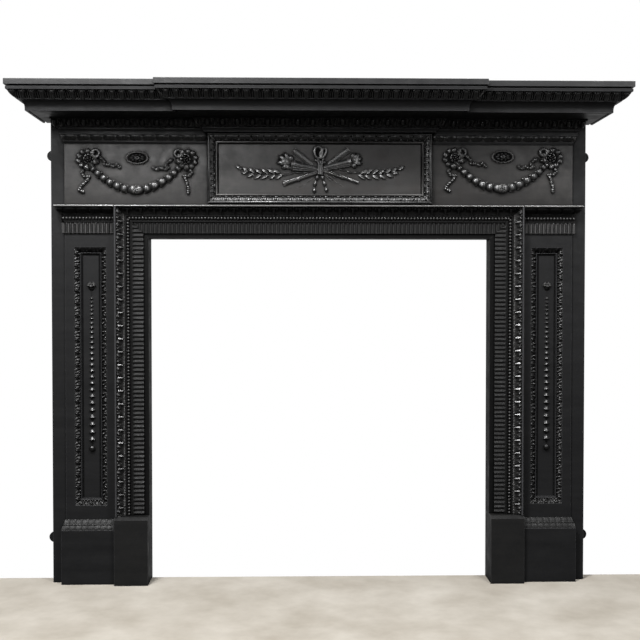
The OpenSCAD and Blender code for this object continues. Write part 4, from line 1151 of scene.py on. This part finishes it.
def stage_plane(name, centre, turn=0.0):
    bm = bmesh.new()
    bmesh.ops.create_grid(bm, x_segments=1, y_segments=1, size=STAGE_HALF)
    bmesh.ops.rotate(bm, verts=bm.verts, matrix=Matrix.Rotation(turn, 3, "X"))
    bmesh.ops.translate(bm, verts=bm.verts, vec=centre)
    thing = mesh_object(name, bm)
    material = bpy.data.materials.new(name)
    material.use_nodes = True
    thing.data.materials.append(material)
    return material.node_tree


def make_floor():
    """A pale floor up to the wall. It throws little light up at the iron."""
    tree = stage_plane("pale_floor", (0, WALL * MM - STAGE_HALF, 0))
    shader = tree.nodes["Principled BSDF"]
    shader.inputs["Roughness"].default_value = 0.8
    clouds = remap(tree, noise(tree, place_in(tree), 5, 5, 0.6), 0.3, 0.7)
    tone = blend(tree, clouds, (0.435, 0.39, 0.325), (0.65, 0.605, 0.535))
    seen = blend(tree, light_path(tree, "Is Camera Ray"), (0.05, 0.048, 0.045), tone)
    feed(tree, seen, shader.inputs["Base Color"])


def make_wall():
    """A white wall that the camera sees plain white and the iron mirrors at its ends. From behind
    it is clear, so that the back of the object can be seen."""
    tree = stage_plane("white_wall", (0, WALL * MM + 0.004, STAGE_HALF), math.pi / 2)
    share = maths(tree, "MULTIPLY", light_path(tree, "Is Glossy Ray"), 0.4)
    seen = maths(tree, "MAXIMUM", light_path(tree, "Is Camera Ray"), share)
    glow = add_node(tree, "Emission", Strength=maths(tree, "MAXIMUM", seen, 0.12))
    behind = add_node(tree, "NewGeometry").outputs["Backfacing"]
    choose(tree, behind, glow, add_node(tree, "BsdfTransparent"), "Material Output")


def make_world(low, high):
    """White for the camera. For the iron a dim studio that grows lighter overhead."""
    world = bpy.data.worlds.new("studio")
    bpy.context.scene.world = world
    world.use_nodes = True
    tree = world.node_tree
    lit, seen = tree.nodes["Background"], add_node(tree, "Background", Color=(1, 1, 1))
    lit.inputs["Color"].default_value = (0.96, 0.98, 1.0, 1)
    up = height_of(tree, place_in(tree, "Generated"))
    feed(tree, remap(tree, up, -0.12, 0.8, low, high), lit.inputs["Strength"])
    choose(tree, light_path(tree, "Is Camera Ray"), lit, seen, "World Output")


def soft_lamp(name, place, target, size, watts):
    data = bpy.data.lights.new(name, "AREA")
    data.shape = "SQUARE"
    data.size = size
    data.energy = watts
    lamp = bpy.data.objects.new(name, data)
    bpy.context.collection.objects.link(lamp)
    lamp.location = place
    lamp.rotation_euler = (Vector(target) - Vector(place)).to_track_quat("-Z", "Y").to_euler()


LAMPS = (("key", (-2.1, -2.9, 2.7), 0.8, 1.1, 38), ("top", (-1.0, -2.0, 3.4), 0.7, 0.6, 105),
         ("top_right", (1.2, -2.0, 3.4), 0.7, 0.6, 52), ("window", (-0.85, -2.75, 1.75), 0.9, 0.8, 11),
         ("fill", (2.2, -3.2, 1.9), 0.7, 1.6, 19))
make_floor()
make_wall()
make_world(0.02, 0.30)
for name, place, aim_height, size, watts in LAMPS:
    soft_lamp(name, place, (0, 0, aim_height), size, watts)
print(len(LAMPS), "lamps")
